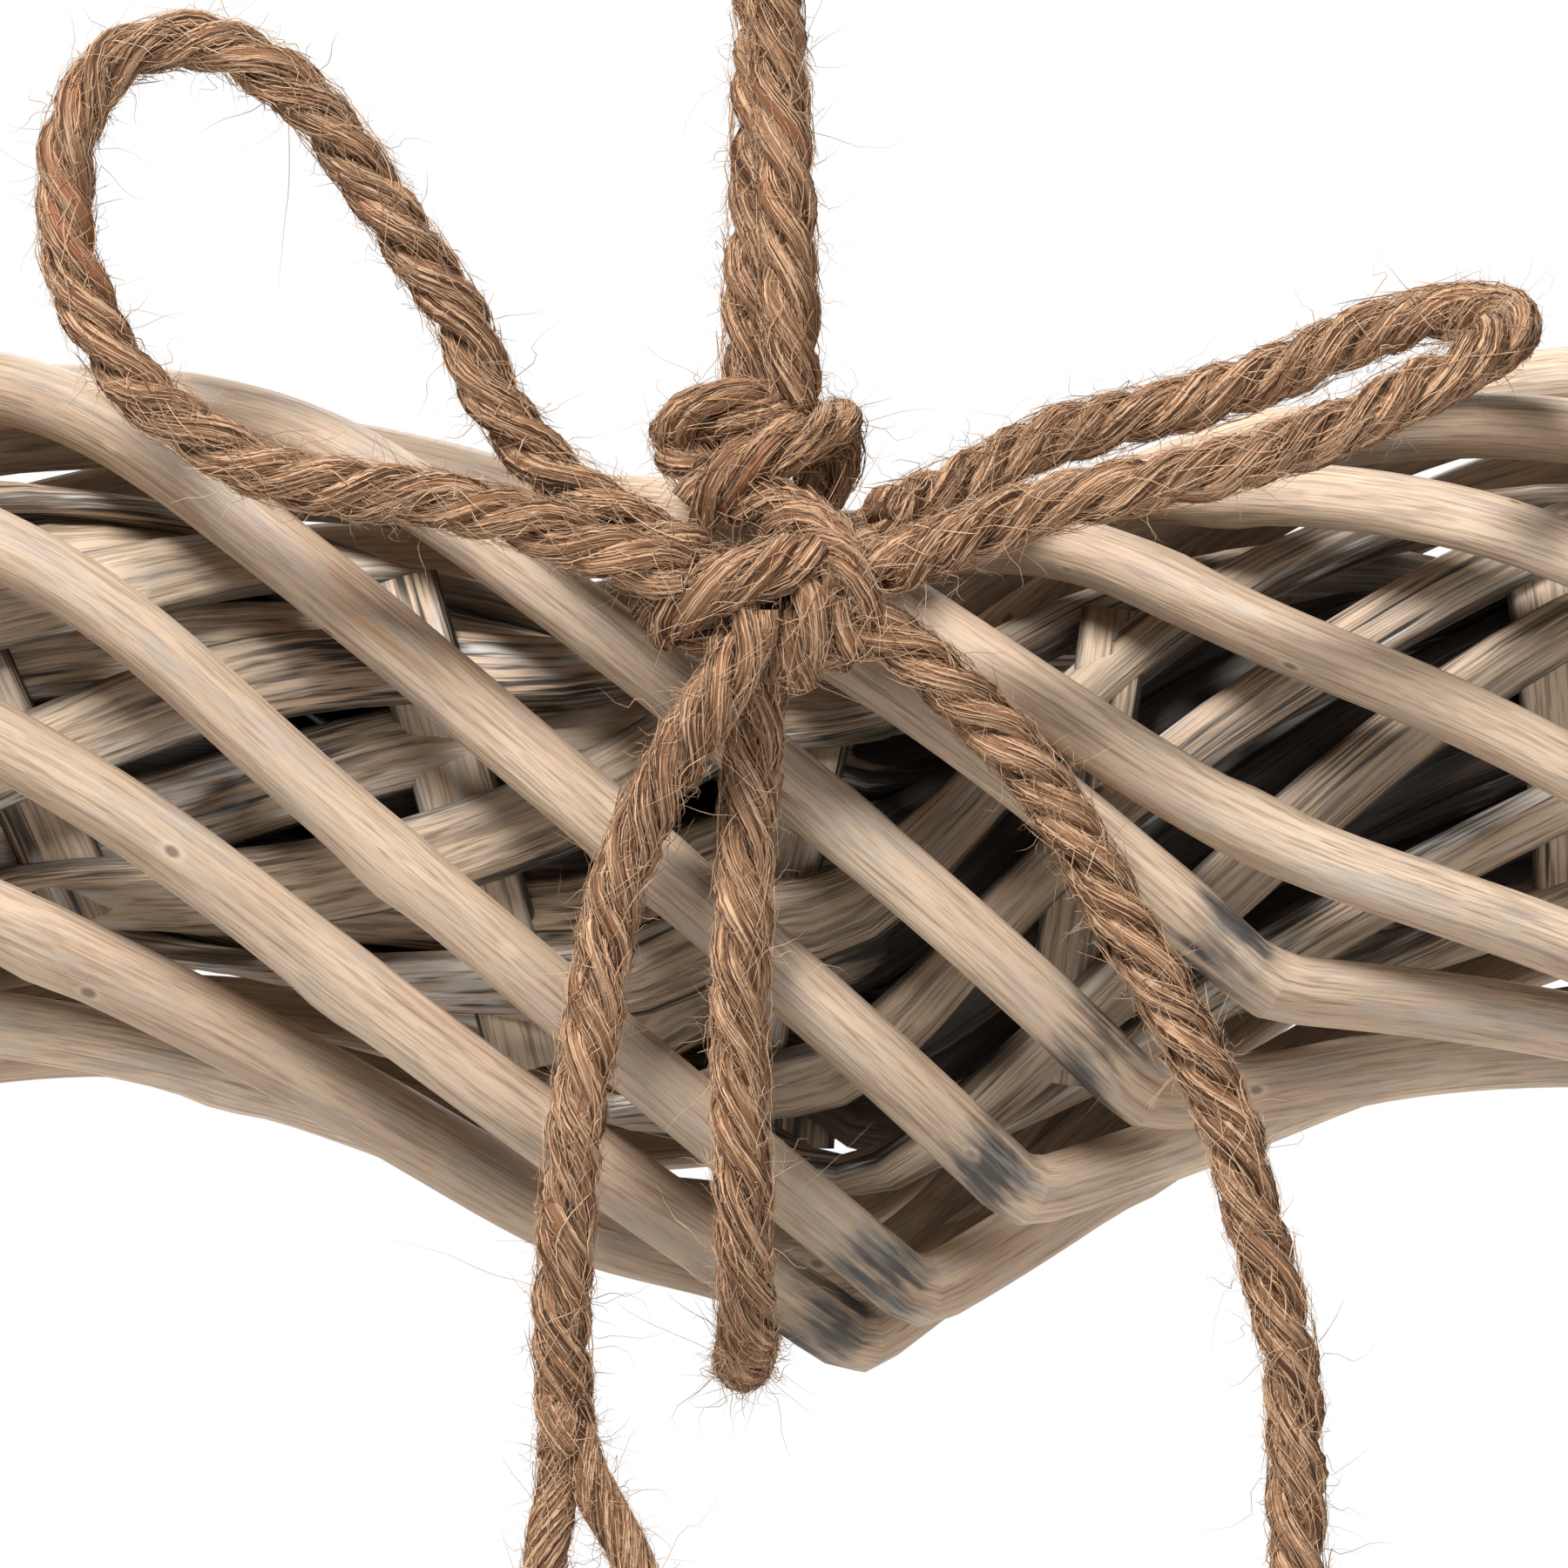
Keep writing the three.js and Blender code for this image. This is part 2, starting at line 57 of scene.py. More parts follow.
FLATTEN_CORNER_SHARE = 0.97

# Wound rods; a winding is (degrees in a lap, length and degrees after the notch, and before it)
ROD_COUNT = 14
ROD_HALF_WIDTH = 0.033
ROD_HALF_DEPTH = 0.024
ROD_BUTT_RADIUS = 0.00355
ROD_TIP_RADIUS = 0.0030
ROD_GIRTHS = [1.02, 0.95, 1.10, 1.12, 1.0, 0.96, 1.04, 0.98, 1.03, 0.97, 1.04, 1.0, 1.0, 0.98]
ROD_SIDES = 16
ROD_FIRST_ANGLE = 14
ROD_END_GAP = 0.003
ROD_START_NEAR = 120
ROD_START_FAR = 240
ROD_WINDING = (1080, 0.046, 62, 0.110, 84)
FRONT_SPREAD = math.radians(17)
LEFT_SPREAD = math.radians(17)
LEFT_SPREAD_FROM = (-0.300, -0.170)
LEFT_SPREAD_TO = (-0.020, 0.040)
LEFT_STRAY = -21
LEFT_STRAY_RISE = (-0.170, -0.075)
LEFT_STRAY_RODS = ((-180, -50), (14, 39))
RIGHT_STRAY = 7
RIGHT_STRAY_FULL = 0.045
RIGHT_STRAY_FADE = (0.070, 0.130)
RIGHT_STRAY_RODS = ((91, 180), (-56, -38))

# Rods that cross the notch in a line, by their angle at the notch
KINK_FIRST = 0.005
KINK_PER_DEGREE = 0.00048
KINK_MIDDLE = 61
KINK_NEAREST = 0.007
KINK_FURTHEST = 0.055
FRONT_RODS = ((-56, -38), (68, 90))
LINE_FIRST = -0.070
LINE_PER_DEGREE = 0.00093
LINE_MIDDLE = 14
LINE_BOW = 0.004
BOW_TO = (14, 40)
UPPER_LINE_END = 0.048
UPPER_RODS = ((-88, -64), (-56, -38))

ROD_STATIONS = [0, 0.012, 0.026, 0.046, 0.076, 0.118, 0.168, 0.220, 0.272, 0.324, 0.376, 0.428,
                0.484, 0.544, 0.604]
ROD_END_ROOM = 0.012
KINK_CLEAR = 0.005
SAME_PLACE = 1e-6
FOLD_SWELL = 1.06
STAIN_BEFORE = 0.007
STAIN_REACH = 0.011
ROD_STEP = 0.003
ROD_WANDER = 0.00035
ROD_EASING = 14
FOLD_EASING = 1
ROD_WAVE_LENGTH = (0.10, 0.16)
ROD_WAVE_OUTWARD = 0.7
ROD_OVAL = 0.035
ROD_OVAL_TURN = 5
ROD_THREE_SIDED = 0.6
ROD_END_TAPER = 0.86
ROD_GRAIN_SHIFT = 1.7
ROD_SEED = 100
BUD_HEIGHT = 0.00045
BUD_LENGTH = 0.0035
BUD_RING = 0.3
BUD_FIRST = (0.02, 0.06)
BUD_SPACING = (0.05, 0.10)

# Lining; thin rods take over at a place past the notch, over a length
STRIP_COUNT = 8
STRIP_HALF_WIDTH = 0.0215
STRIP_HALF_DEPTH = 0.0135
STRIP_WIDTH = 0.0086
STRIP_THICKNESS = 0.0030
THIN_ROD_WIDTH = 0.0062
THIN_ROD_THICKNESS = 0.0048
STRIP_WINDING = (-1080, 0.100, -145, 0.075, -100)
STRIP_END_GAP = 0.003
STRIP_SIDES = 12
STRIP_STEP = 0.005
STRIP_EASING = 2
STRIP_FACE_ROUNDING = 0.8
STRIP_EDGE_ROUNDING = 0.85
STRIP_WOBBLE = 5
STRIP_WOBBLE_WAVES = 70
STRIP_WOBBLE_SHIFT = 2.4
STRIP_RIPPLES = ((0.06, 95, 1), (0.05, 41, 2))
STRIP_GRAIN_SHIFT = 1.3
STRIP_FIRST_START = 0.45
STRIP_START_SPREAD = 1.1
SMALL_LIFT = 1e-5
THIN_ROD_FROM = (-0.01, 0.03)
THIN_ROD_TO = (0.32, 0.05)
BETWEEN_SHIFT = 3
BETWEEN_FIRST_SHADE = 20
CORE_FIRST_SHADE = 40
BETWEEN_HALF_WIDTH = 0.0186
BETWEEN_HALF_DEPTH = 0.0090
BETWEEN_SINKS = 0.5
# Painted shade: how black the between strips are painted where they sink on the right
BETWEEN_PAINTED_SHADE = 2.0
CORE_HALF_WIDTH = 0.0140
CORE_HALF_DEPTH = 0.0062
CROSS_COUNT = 34
CROSS_REACH = 0.0205
CROSS_DEPTH = 0.0108
CROSS_WEAVE = 0.0018
CROSS_THICKNESS = 0.0011
CROSS_WIDTH = (0.0065, 0.0095)
CROSS_JITTER = (-0.2, 0.2)
CROSS_LEAN = (-0.35, 0.35)
CROSS_WAVES = 330
CROSS_TUCK = 0.35
CROSS_STATIONS = 12
CROSS_SIDES = 8
CROSS_GRAIN_SHIFT = (0.37, 0.11)
CROSS_SEED = 7

# Jute rope; pairs are a wave's size and its waves, or the least and the most of a measure
ROPE_PLIES = 3
PLY_RADIUS = 0.00147
PLY_CENTRE = 0.00146
ROPE_LAY = 0.0158
FIBRE_TURN = 288
ROPE_STEP = 0.0012
ROPE_LAY_VARIES = (0.94, 1.06)
CURVE_DIVISIONS = 24
PLY_SIDES = 14
PLY_SWAY = (0.25, 170)
PLY_SPREAD = (0.05, 230)
PLY_RIDGES = ((0.05, 4), (0.04, 6))
PLY_RIDGE_DRIFT = 40
PLY_LUMPS = ((0.05, 310), (0.04, 733))
PLY_GRAIN_SHIFT = (0.9, 0.31)
LOOSE_PLY_RADIUS = 0.0020
FIBRE_RINGS = 8
HAIR_RINGS = 8
FIBRES_PER_METRE = 4600
STRAYS_PER_METRE = 3600
HAIRS_PER_METRE = 10000
FEWEST_STRANDS = 4
STRAND_SIDES = 3
STRAND_ENDS = (-0.002, 0.003)
STRAND_ASIDE = (0.31, 0.52, 0.79)
STRAND_ROOT_TAPER = 6
FIBRE_LENGTH = (0.006, 0.018)
FIBRE_TURN_VARIES = (0.6, 1.2)
FIBRE_LIFT = (0.0, 0.0009)
FIBRE_HEIGHT = 1.02
FIBRE_THICKNESS = (0.00003, 0.00008)
STRAY_LENGTH = (0.004, 0.014)
STRAY_HEIGHT = 0.0028
STRAY_HEIGHT_VARIES = (0.92, 1.08)
STRAY_TILT = 110
STRAY_BEND = 0.5
STRAY_BENDS = (0.8, 2.2)
STRAY_LIFT = (0.0, 0.0012)
STRAY_WAVE = (0.00018, 9)
HAIR_ROOT = 0.95
HAIR_OUTWARD = 0.6
HAIR_LEAN = 0.8
HAIR_STRAY = 0.45
HAIR_LENGTH = (1.6, 0.0009)
HAIR_SHORTEST = 0.0005
HAIR_CURL = 0.70
HAIR_CRIMP = (0.12, 10)
HAIR_THICKNESS = (0.000025, 0.00005)

# Angles and phases drawn at random, in radians
ANY_ANGLE = (0, 6.28)
ANY_PHASE = (0, 6)

# Colours of the willow
WILLOW_LIGHT = (0.71, 0.55, 0.405, 1)
WILLOW_MIDDLE = (0.50, 0.365, 0.255, 1)
WILLOW_DARK = (0.23, 0.155, 0.100, 1)
STRIP_LIGHT = (0.64, 0.49, 0.35, 1)
STRIP_MIDDLE = (0.44, 0.325, 0.22, 1)
STRIP_DARK = (0.06, 0.043, 0.028, 1)
# Painted shade: near-black colours of the strips deep inside the lining, standing in for the shadow
# there
CORE_PAINTED_SHADE_LIGHT = (0.05, 0.04, 0.03, 1)
CORE_PAINTED_SHADE_MIDDLE = (0.025, 0.02, 0.015, 1)
CORE_PAINTED_SHADE_DARK = (0.012, 0.01, 0.008, 1)
PINK_STAIN = (0.56, 0.37, 0.26, 1)
RUST_STAIN = (0.45, 0.24, 0.11, 1)
WEATHERED_GREY = (0.34, 0.31, 0.28, 1)
# Black of the rods' kink stains, also painted shade on the sunk between strips
STAIN_AND_SHADE_BLACK = (0.050, 0.048, 0.046, 1)
# Painted shade darkening the edges of the strips
PAINTED_EDGE_SHADE = (0.020, 0.017, 0.014, 1)
STREAK_BLACK = (0.022, 0.020, 0.018, 1)
LIMEWASH = (0.72, 0.69, 0.64, 1)
BUD_SCAR = (0.10, 0.065, 0.045, 1)

# Colours of the jute
JUTE_BROWN = (0.21, 0.097, 0.045, 1)
JUTE_TAN = (0.34, 0.180, 0.094, 1)
# Dark fibres, deepened into painted shade between fibre bundles
JUTE_DARK_FIBRE_AND_SHADE = (0.060, 0.026, 0.012, 1)
JUTE_PALE = (0.70, 0.44, 0.27, 1)
JUTE_RED = (0.45, 0.17, 0.08, 1)
FUZZ_DARK = (0.18, 0.078, 0.036, 1)
FUZZ_PALE = (0.76, 0.51, 0.32, 1)
FUZZ_RED = (0.50, 0.22, 0.10, 1)
FUZZ_TIP = (0.82, 0.64, 0.44, 1)

# Waves in a metre along a rod or ply, and across it, in the patterns of each finish
FINE_GRAIN = (150, 3000, 3000)
COARSE_GRAIN = (60, 1300, 1300)
TONE_PATCHES = (10, 80, 80)
GREY_PATCHES = (80, 280, 280)
BLACK_STREAKS = (60, 1500, 1500)
STAIN_PATCHES = (26, 160, 160)
LIME_PATCHES = (30, 200, 200)
SCAR_CELLS = (110, 190, 190)
JUTE_FIBRES = (160, 4600, 4600)
JUTE_BUNDLES = (90, 1500, 1500)
JUTE_TONES = (28, 120, 120)
JUTE_RED_PATCHES = (40, 300, 300)
MEAN_ROD_RADIUS = 0.0033
WILLOW_RELIEF = 0.0004
WILLOW_GLOSS = 0.4
JUTE_RELIEF = 0.0006
JUTE_ROUGHNESS = 0.85
JUTE_GLOSS = 0.25
FUZZ_ROUGHNESS = 0.7
FUZZ_GLOSS = 0.3

# View
VIEW_SIZE = 0.150
VIEW_HEIGHT = -0.115
VIEW_FRONT = -0.030
VIEW_DISTANCE = 1.4
SENSOR_WIDTH = 36
NEAREST_SEEN = 0.01
FURTHEST_SEEN = 50
FLOOR_Z = -0.62
FLOOR_RADIUS = 6.5
FLOOR_SIDES = 128
FLOOR_GLOW = 0.45
FLOOR_COLOUR = (0.86, 0.86, 0.85, 1)
FLOOR_ROUGHNESS = 0.7
WHITE = (1, 1, 1, 1)
AMBIENT = 0.075

# Studio lights: name, place, width and watts
LIGHTS_AIM = (0, 0, -0.15)
LIGHTS = (
    ("key_light", (-0.6, -1.1, 1.3), 0.7, 60),
    ("fill_light", (0.9, -1.5, 0.1), 1.2, 6),
    ("back_light", (0.3, 1.4, 0.8), 1.0, 18),
)

TIP_DROP = LOBE_Z - TIP_Z
TIP_REACH = math.hypot(LOBE_SPREAD, TIP_DROP)
SIDE_ANGLE = math.asin(LOBE_RADIUS / TIP_REACH) + math.atan2(LOBE_SPREAD, TIP_DROP)
SIDE_LENGTH = math.sqrt(TIP_REACH ** 2 - LOBE_RADIUS ** 2)
NOTCH_ANGLE = math.pi / 2 + math.asin(LOBE_SPREAD / LOBE_RADIUS)
ARC_LENGTH = LOBE_RADIUS * (NOTCH_ANGLE + SIDE_ANGLE)
HALF_LAP = ARC_LENGTH + SIDE_LENGTH
LAP = 2 * HALF_LAP

# Rope routes
HANGING_LOOP = [
    (0.0008, -0.0166, -0.079), (0.0006, -0.0160, -0.070), (0.0003, -0.0146, -0.060),
    (-0.0003, -0.0130, -0.050), (-0.0008, -0.0124, -0.040), (-0.0006, -0.0129, -0.028),
    (-0.0002, -0.0126, -0.015), (0.0, -0.0102, -0.0055), (0.0, -0.0056, 0.0009),
    (0.0, 0.0, 0.003), (0.0, 0.0056, 0.0009), (-0.0001, 0.0102, -0.0055),
    (-0.0006, 0.0116, -0.014), (-0.0013, 0.0086, -0.025), (-0.0020, 0.0024, -0.036),
    (-0.0023, -0.0036, -0.047), (-0.0027, -0.0074, -0.058), (-0.0031, -0.0092, -0.068),
    (-0.0033, -0.0102, -0.079),
]
BOW_LEFT_LOOP = [
    (-0.0083, -0.0310, -0.0933), (-0.0150, -0.0305, -0.0900), (-0.0217, -0.0300, -0.0854),
    (-0.0278, -0.0295, -0.0783), (-0.0310, -0.0290, -0.0703), (-0.0368, -0.0290, -0.0617),
    (-0.0422, -0.0290, -0.0538), (-0.0479, -0.0292, -0.0476), (-0.0572, -0.0296, -0.0438),
    (-0.0645, -0.0300, -0.0463), (-0.0682, -0.0303, -0.0526), (-0.0688, -0.0306, -0.0592),
    (-0.0680, -0.0309, -0.0655), (-0.0654, -0.0312, -0.0719), (-0.0616, -0.0316, -0.0773),
    (-0.0558, -0.0322, -0.0818), (-0.0495, -0.0328, -0.0853), (-0.0415, -0.0336, -0.0869),
    (-0.0336, -0.0346, -0.0878), (-0.0250, -0.0357, -0.0900), (-0.0167, -0.0364, -0.0929),
    (-0.0092, -0.0364, -0.0954),
]
BOW_RIGHT_LOOP = [
    (0.0083, -0.0250, -0.0900), (0.0133, -0.0205, -0.0876), (0.0197, -0.0170, -0.0847),
    (0.0250, -0.0152, -0.0818), (0.0330, -0.0140, -0.0796), (0.0409, -0.0134, -0.0775),
    (0.0492, -0.0134, -0.0746), (0.0570, -0.0146, -0.0712), (0.0640, -0.0180, -0.0696),
    (0.0686, -0.0230, -0.0698), (0.0697, -0.0284, -0.0712), (0.0676, -0.0340, -0.0734),
    (0.0624, -0.0384, -0.0764), (0.0505, -0.0416, -0.0820), (0.0378, -0.0420, -0.0859),
    (0.0250, -0.0406, -0.0885), (0.0167, -0.0380, -0.0917), (0.0096, -0.0340, -0.0944),
]
LEFT_TAIL = [
    (-0.0024, -0.0362, -0.0985), (-0.0054, -0.0380, -0.1050), (-0.0092, -0.0360, -0.1108),
    (-0.0129, -0.0336, -0.1175), (-0.0157, -0.0320, -0.1242), (-0.0173, -0.0315, -0.1317),
    (-0.0187, -0.0315, -0.1400), (-0.0200, -0.0315, -0.1483), (-0.0208, -0.0315, -0.1567),
    (-0.0212, -0.0315, -0.1650), (-0.0210, -0.0315, -0.1733), (-0.0207, -0.0315, -0.1790),
]
LEFT_TAIL_OUTER_PLY = [
    (-0.0209, -0.0315, -0.1740), (-0.0214, -0.0314, -0.1810), (-0.0226, -0.0312, -0.1875),
    (-0.0233, -0.0310, -0.1935), (-0.0238, -0.0308, -0.2008), (-0.0240, -0.0306, -0.2060),
]
LEFT_TAIL_INNER_PLY = [
    (-0.0207, -0.0316, -0.1750), (-0.0186, -0.0320, -0.1815), (-0.0150, -0.0322, -0.1880),
    (-0.0126, -0.0322, -0.1945), (-0.0112, -0.0320, -0.2010),
]
RIGHT_TAIL = [
    (0.0070, -0.0330, -0.0985), (0.0105, -0.0334, -0.1012), (0.0133, -0.0332, -0.1033),
    (0.0183, -0.0324, -0.1079), (0.0233, -0.0318, -0.1133), (0.0279, -0.0315, -0.1200),
    (0.0321, -0.0315, -0.1275), (0.0354, -0.0315, -0.1333), (0.0390, -0.0315, -0.1400),
    (0.0428, -0.0315, -0.1480), (0.0448, -0.0315, -0.1559), (0.0470, -0.0315, -0.1639),
    (0.0486, -0.0315, -0.1719), (0.0489, -0.0315, -0.1798), (0.0491, -0.0315, -0.1878),
    (0.0493, -0.0315, -0.1958), (0.0496, -0.0315, -0.2050), (0.0500, -0.0315, -0.2100),
]
BAND_WRAP = [
    (-0.0012, -0.0310, -0.1000), (-0.0026, -0.0310, -0.1070), (-0.0032, -0.0310, -0.1150),
    (-0.0039, -0.0310, -0.1275), (-0.0042, -0.0310, -0.1400), (-0.0040, -0.0310, -0.1505),
    (-0.0038, -0.0294, -0.1600), (-0.0036, -0.0235, -0.1666), (-0.0039, -0.0120, -0.1704),
    (-0.0039, 0.0, -0.1713), (-0.0035, 0.0120, -0.1704), (-0.0028, 0.0235, -0.1666),
    (-0.0026, 0.0296, -0.1590), (-0.0026, 0.0312, -0.1480), (-0.0026, 0.0312, -0.1300),
    (-0.0026, 0.0312, -0.1100), (-0.0026, 0.0294, -0.0970), (-0.0026, 0.0236, -0.0880),
    (-0.0026, 0.0120, -0.0826), (-0.0026, 0.0020, -0.0816), (-0.0028, -0.0080, -0.0832),
]
HANGER_KNOT_TURNS = [
    [(-0.0086, -0.0185, -0.0885), (-0.0047, -0.0210, -0.0850), (0.0012, -0.0205, -0.0820),
     (0.0050, -0.0150, -0.0806), (0.0042, -0.0085, -0.0814)],
    [(0.0042, -0.0085, -0.0814), (-0.0025, -0.0060, -0.0812), (-0.0090, -0.0080, -0.0808),
     (-0.0103, -0.0132, -0.0820), (-0.0076, -0.0170, -0.0854)],
    [(-0.0100, -0.0125, -0.0815), (-0.0086, -0.0160, -0.0794), (-0.0050, -0.0175, -0.0786),
     (-0.0006, -0.0160, -0.0794)],
    [(0.0046, -0.0130, -0.0786), (0.0047, -0.0130, -0.0840), (0.0026, -0.0170, -0.0875)],
]
BOW_KNOT_TURNS = [
    [(-0.0050, -0.0190, -0.0870), (0.0005, -0.0240, -0.0890), (0.0050, -0.0310, -0.0930),
     (0.0070, -0.0340, -0.0975), (0.0066, -0.0330, -0.1025)],
    [(0.0026, -0.0340, -0.0934), (-0.0036, -0.0375, -0.0952), (-0.0088, -0.0365, -0.0976),
     (-0.0120, -0.0315, -0.0996)],
    [(0.0026, -0.0330, -0.0945), (0.0018, -0.0355, -0.0995), (0.0006, -0.0338, -0.1050)],
    [(-0.0100, -0.0320, -0.0940), (0.0, -0.0305, -0.0955), (0.0092, -0.0290, -0.0930)],
    [(-0.0090, -0.0315, -0.0995), (-0.0020, -0.0320, -0.1015), (0.0060, -0.0320, -0.1015)],
]


# The band

def smooth_step(value, low, high):
    share = min(1.0, max(0.0, (value - low) / (high - low)))
    return share * share * (3 - 2 * share)


def from_notch(s):
    """Distance along the band from the notch, negative on the left lobe."""
    return (s + HALF_LAP) % LAP - HALF_LAP


def flattening(signed):
    """The lobes run into the notch straighter than their circles, except in the corner itself."""
    wide = max(0.0, 1 - (signed / FLATTEN_REACH) ** 2)
    corner = math.exp(-(((signed - FLATTEN_CORNER_AT) / FLATTEN_CORNER) ** 2))
    return FLATTEN_DEPTH * wide * (1 - FLATTEN_CORNER_SHARE * corner)


def band_point(s, inward, forward):
    """Point at a distance along the band, offset towards the heart's opening and its front."""
    signed = from_notch(s)
    side = -1 if signed < 0 else 1
    along = abs(signed)
    if along <= ARC_LENGTH:
        radius = LOBE_RADIUS - inward - flattening(signed)
        shear = math.pi / 2 + math.asin(LOBE_SPREAD / radius) - NOTCH_ANGLE
        fade = max(0.0, 1 - along / CORNER_BLEND)
        angle = NOTCH_ANGLE - along / LOBE_RADIUS + shear * fade
        x = LOBE_SPREAD + radius * math.cos(angle)
        return np.array((HEART_X + side * x, -forward, LOBE_Z + radius * math.sin(angle)))
    to_tip = HALF_LAP - along
    fade = max(0.0, 1 - to_tip / CORNER_BLEND)
    reach = to_tip + inward / math.tan(SIDE_ANGLE) * fade
    x = reach * math.sin(SIDE_ANGLE) - inward * math.cos(SIDE_ANGLE)
    z = TIP_Z + reach * math.cos(SIDE_ANGLE) + inward * math.sin(SIDE_ANGLE)
    return np.array((HEART_X + side * x, -forward, z))


def turn_along(s, winding):
    """Degrees turned since the notch: one rate just after it, one just before it, one elsewhere."""
    total, after_length, after_turn, before_length, before_turn = winding
    laps, rest = divmod(s, LAP)
    plain_length = LAP - after_length - before_length
    plain_turn = total - after_turn - before_turn
    first = min(rest, after_length) / after_length
    plain = min(max(rest - after_length, 0.0), plain_length) / plain_length
    last = max(0.0, rest - after_length - plain_length) / before_length
    return laps * total + first * after_turn + plain * plain_turn + last * before_turn


def rod_notch_angle(number):
    """Angle of a rod round the band at the notch, from -180 to 180, with 0 at the front."""
    return (ROD_FIRST_ANGLE + number * 360 / ROD_COUNT + 180) % 360 - 180


def share_between(value, first, second):
    """How far a value lies past the first range and not yet past the second, from 0 to 1."""
    return smooth_step(value, *first) * (1 - smooth_step(value, *second))


def kink_place(degrees):
    place = KINK_FIRST + KINK_PER_DEGREE * (KINK_MIDDLE - degrees)
    return min(max(place, KINK_NEAREST), KINK_FURTHEST)


def line_start(degrees):
    return LINE_FIRST + LINE_PER_DEGREE * max(0.0, LINE_MIDDLE - degrees)


def stray_along(s, degrees):
    """Turn that parts the upper rods from the lower on the left and lowers them on the right."""
    along = from_notch(s)
    if along < 0:
        reach = smooth_step(along, *LEFT_STRAY_RISE) * min(along / LEFT_STRAY_RISE[1], 1.0)
        return LEFT_STRAY * reach * share_between(degrees, *LEFT_STRAY_RODS)
    behind, above = RIGHT_STRAY_RODS
    share = 1 - smooth_step(degrees, *above) + smooth_step(degrees, *behind)
    reach = min(along / RIGHT_STRAY_FULL, 1 - smooth_step(along, *RIGHT_STRAY_FADE))
    return RIGHT_STRAY * share * reach


def wound_point(number, s):
    """Point of a rod on the band's oval; the rods lie further apart across its front."""
    degrees = rod_notch_angle(number)
    even = math.radians(degrees + turn_along(s, ROD_WINDING) + stray_along(s, degrees))
    left = share_between(from_notch(s), LEFT_SPREAD_FROM, LEFT_SPREAD_TO)
    spread = FRONT_SPREAD + LEFT_SPREAD * left
    angle = even + spread * math.sin(even) * (1 + math.cos(even)) / 2
    return band_point(s, ROD_HALF_WIDTH * math.sin(angle), ROD_HALF_DEPTH * math.cos(angle))


def straightened(number, point, along, first_at, last_at, bow, strength):
    """Moves a point towards a line between two places of its rod, on the front half of the oval."""
    first = wound_point(number, first_at)
    last = wound_point(number, last_at)
    share = (along - first_at) / (last_at - first_at)
    line = first + (last - first) * share
    line[2] += 4 * bow * share * (1 - share)
    line[1] = 0.0
    middle = band_point(along, 0.0, 0.0)
    edge = band_point(along, ROD_HALF_WIDTH, 0.0) - middle
    across = np.dot(line - middle, edge) / np.dot(edge, edge)
    line[1] = -ROD_HALF_DEPTH * math.sqrt(max(0.0, 1 - across ** 2))
    return point + (line - point) * strength


def rod_point(number, s):
    """Rods cross the notch almost straight: the front ones up to their kinks, one more above them."""
    point = wound_point(number, s)
    degrees = rod_notch_angle(number)
    kink_at = kink_place(degrees)
    start = line_start(degrees)
    along = from_notch(s)
    if start < along < kink_at:
        bow = LINE_BOW * (1 - smooth_step(degrees, *BOW_TO))
        strength = share_between(degrees, *FRONT_RODS)
        point = straightened(number, point, along, start, kink_at, bow, strength)
    if 0 < along < UPPER_LINE_END:
        strength = share_between(degrees, *UPPER_RODS)
        point = straightened(number, point, along, 0.0, UPPER_LINE_END, 0.0, strength)
    return point


def rod_start(number):
    """Each rod starts and ends at the back of the band, in a different place round the heart."""
    total, after_length, after_turn, before_length, before_turn = ROD_WINDING
    rate = (total - after_turn - before_turn) / (LAP - after_length - before_length)
    back = (180 - rod_notch_angle(number)) % 360
    if back < ROD_START_NEAR:
        turns = 1 + number % 2
    else:
        turns = number % 2 + (1 if back < ROD_START_FAR else 0)
    return after_length + (back + 360 * turns - after_turn) / rate


# Swept meshes

def unit(vectors):
    return vectors / np.linalg.norm(vectors, axis=-1, keepdims=True)


def curve_through(route, step=ROPE_STEP):
    """Evenly spaced points on the centripetal curve through a route, and their distances."""
    points = [np.array(point) for point in route]
    points = [2 * points[0] - points[1]] + points + [2 * points[-1] - points[-2]]
    fine = []
    for p0, p1, p2, p3 in zip(points, points[1:], points[2:], points[3:]):
        t1 = np.linalg.norm(p1 - p0) ** 0.5
        t2 = t1 + np.linalg.norm(p2 - p1) ** 0.5
        t3 = t2 + np.linalg.norm(p3 - p2) ** 0.5
        for t in np.linspace(t1, t2, CURVE_DIVISIONS, endpoint=False):
            a1 = (t1 - t) / t1 * p0 + t / t1 * p1
            a2 = (t2 - t) / (t2 - t1) * p1 + (t - t1) / (t2 - t1) * p2
            a3 = (t3 - t) / (t3 - t2) * p2 + (t - t2) / (t3 - t2) * p3
            b1 = (t2 - t) / t2 * a1 + t / t2 * a2
            b2 = (t3 - t) / (t3 - t1) * a2 + (t - t1) / (t3 - t1) * a3
            fine.append((t2 - t) / (t2 - t1) * b1 + (t - t1) / (t2 - t1) * b2)
    fine = np.array(fine + [points[-2]])
    reached = np.concatenate(([0.0], np.cumsum(np.linalg.norm(np.diff(fine, axis=0), axis=1))))
    along = np.linspace(0.0, reached[-1], max(4, round(reached[-1] / step)))
    even = np.stack([np.interp(along, reached, fine[:, axis]) for axis in range(3)], axis=1)
    return even, along


def square_to(spine, outward):
    """Tangents of a spine, and the outward and sideways directions square to them."""
    tangent = unit(np.gradient(spine, axis=0))
    flat = outward - tangent * np.sum(outward * tangent, axis=1, keepdims=True)
    outward = unit(flat)
    return tangent, outward, np.cross(tangent, outward)


def eased(spine, times):
    """A spine with its small corners rounded off and its ends kept."""
    spine = spine.copy()
    for _ in range(times):
        spine[1:-1] = (spine[:-2] + 2 * spine[1:-1] + spine[2:]) / 4
    return spine


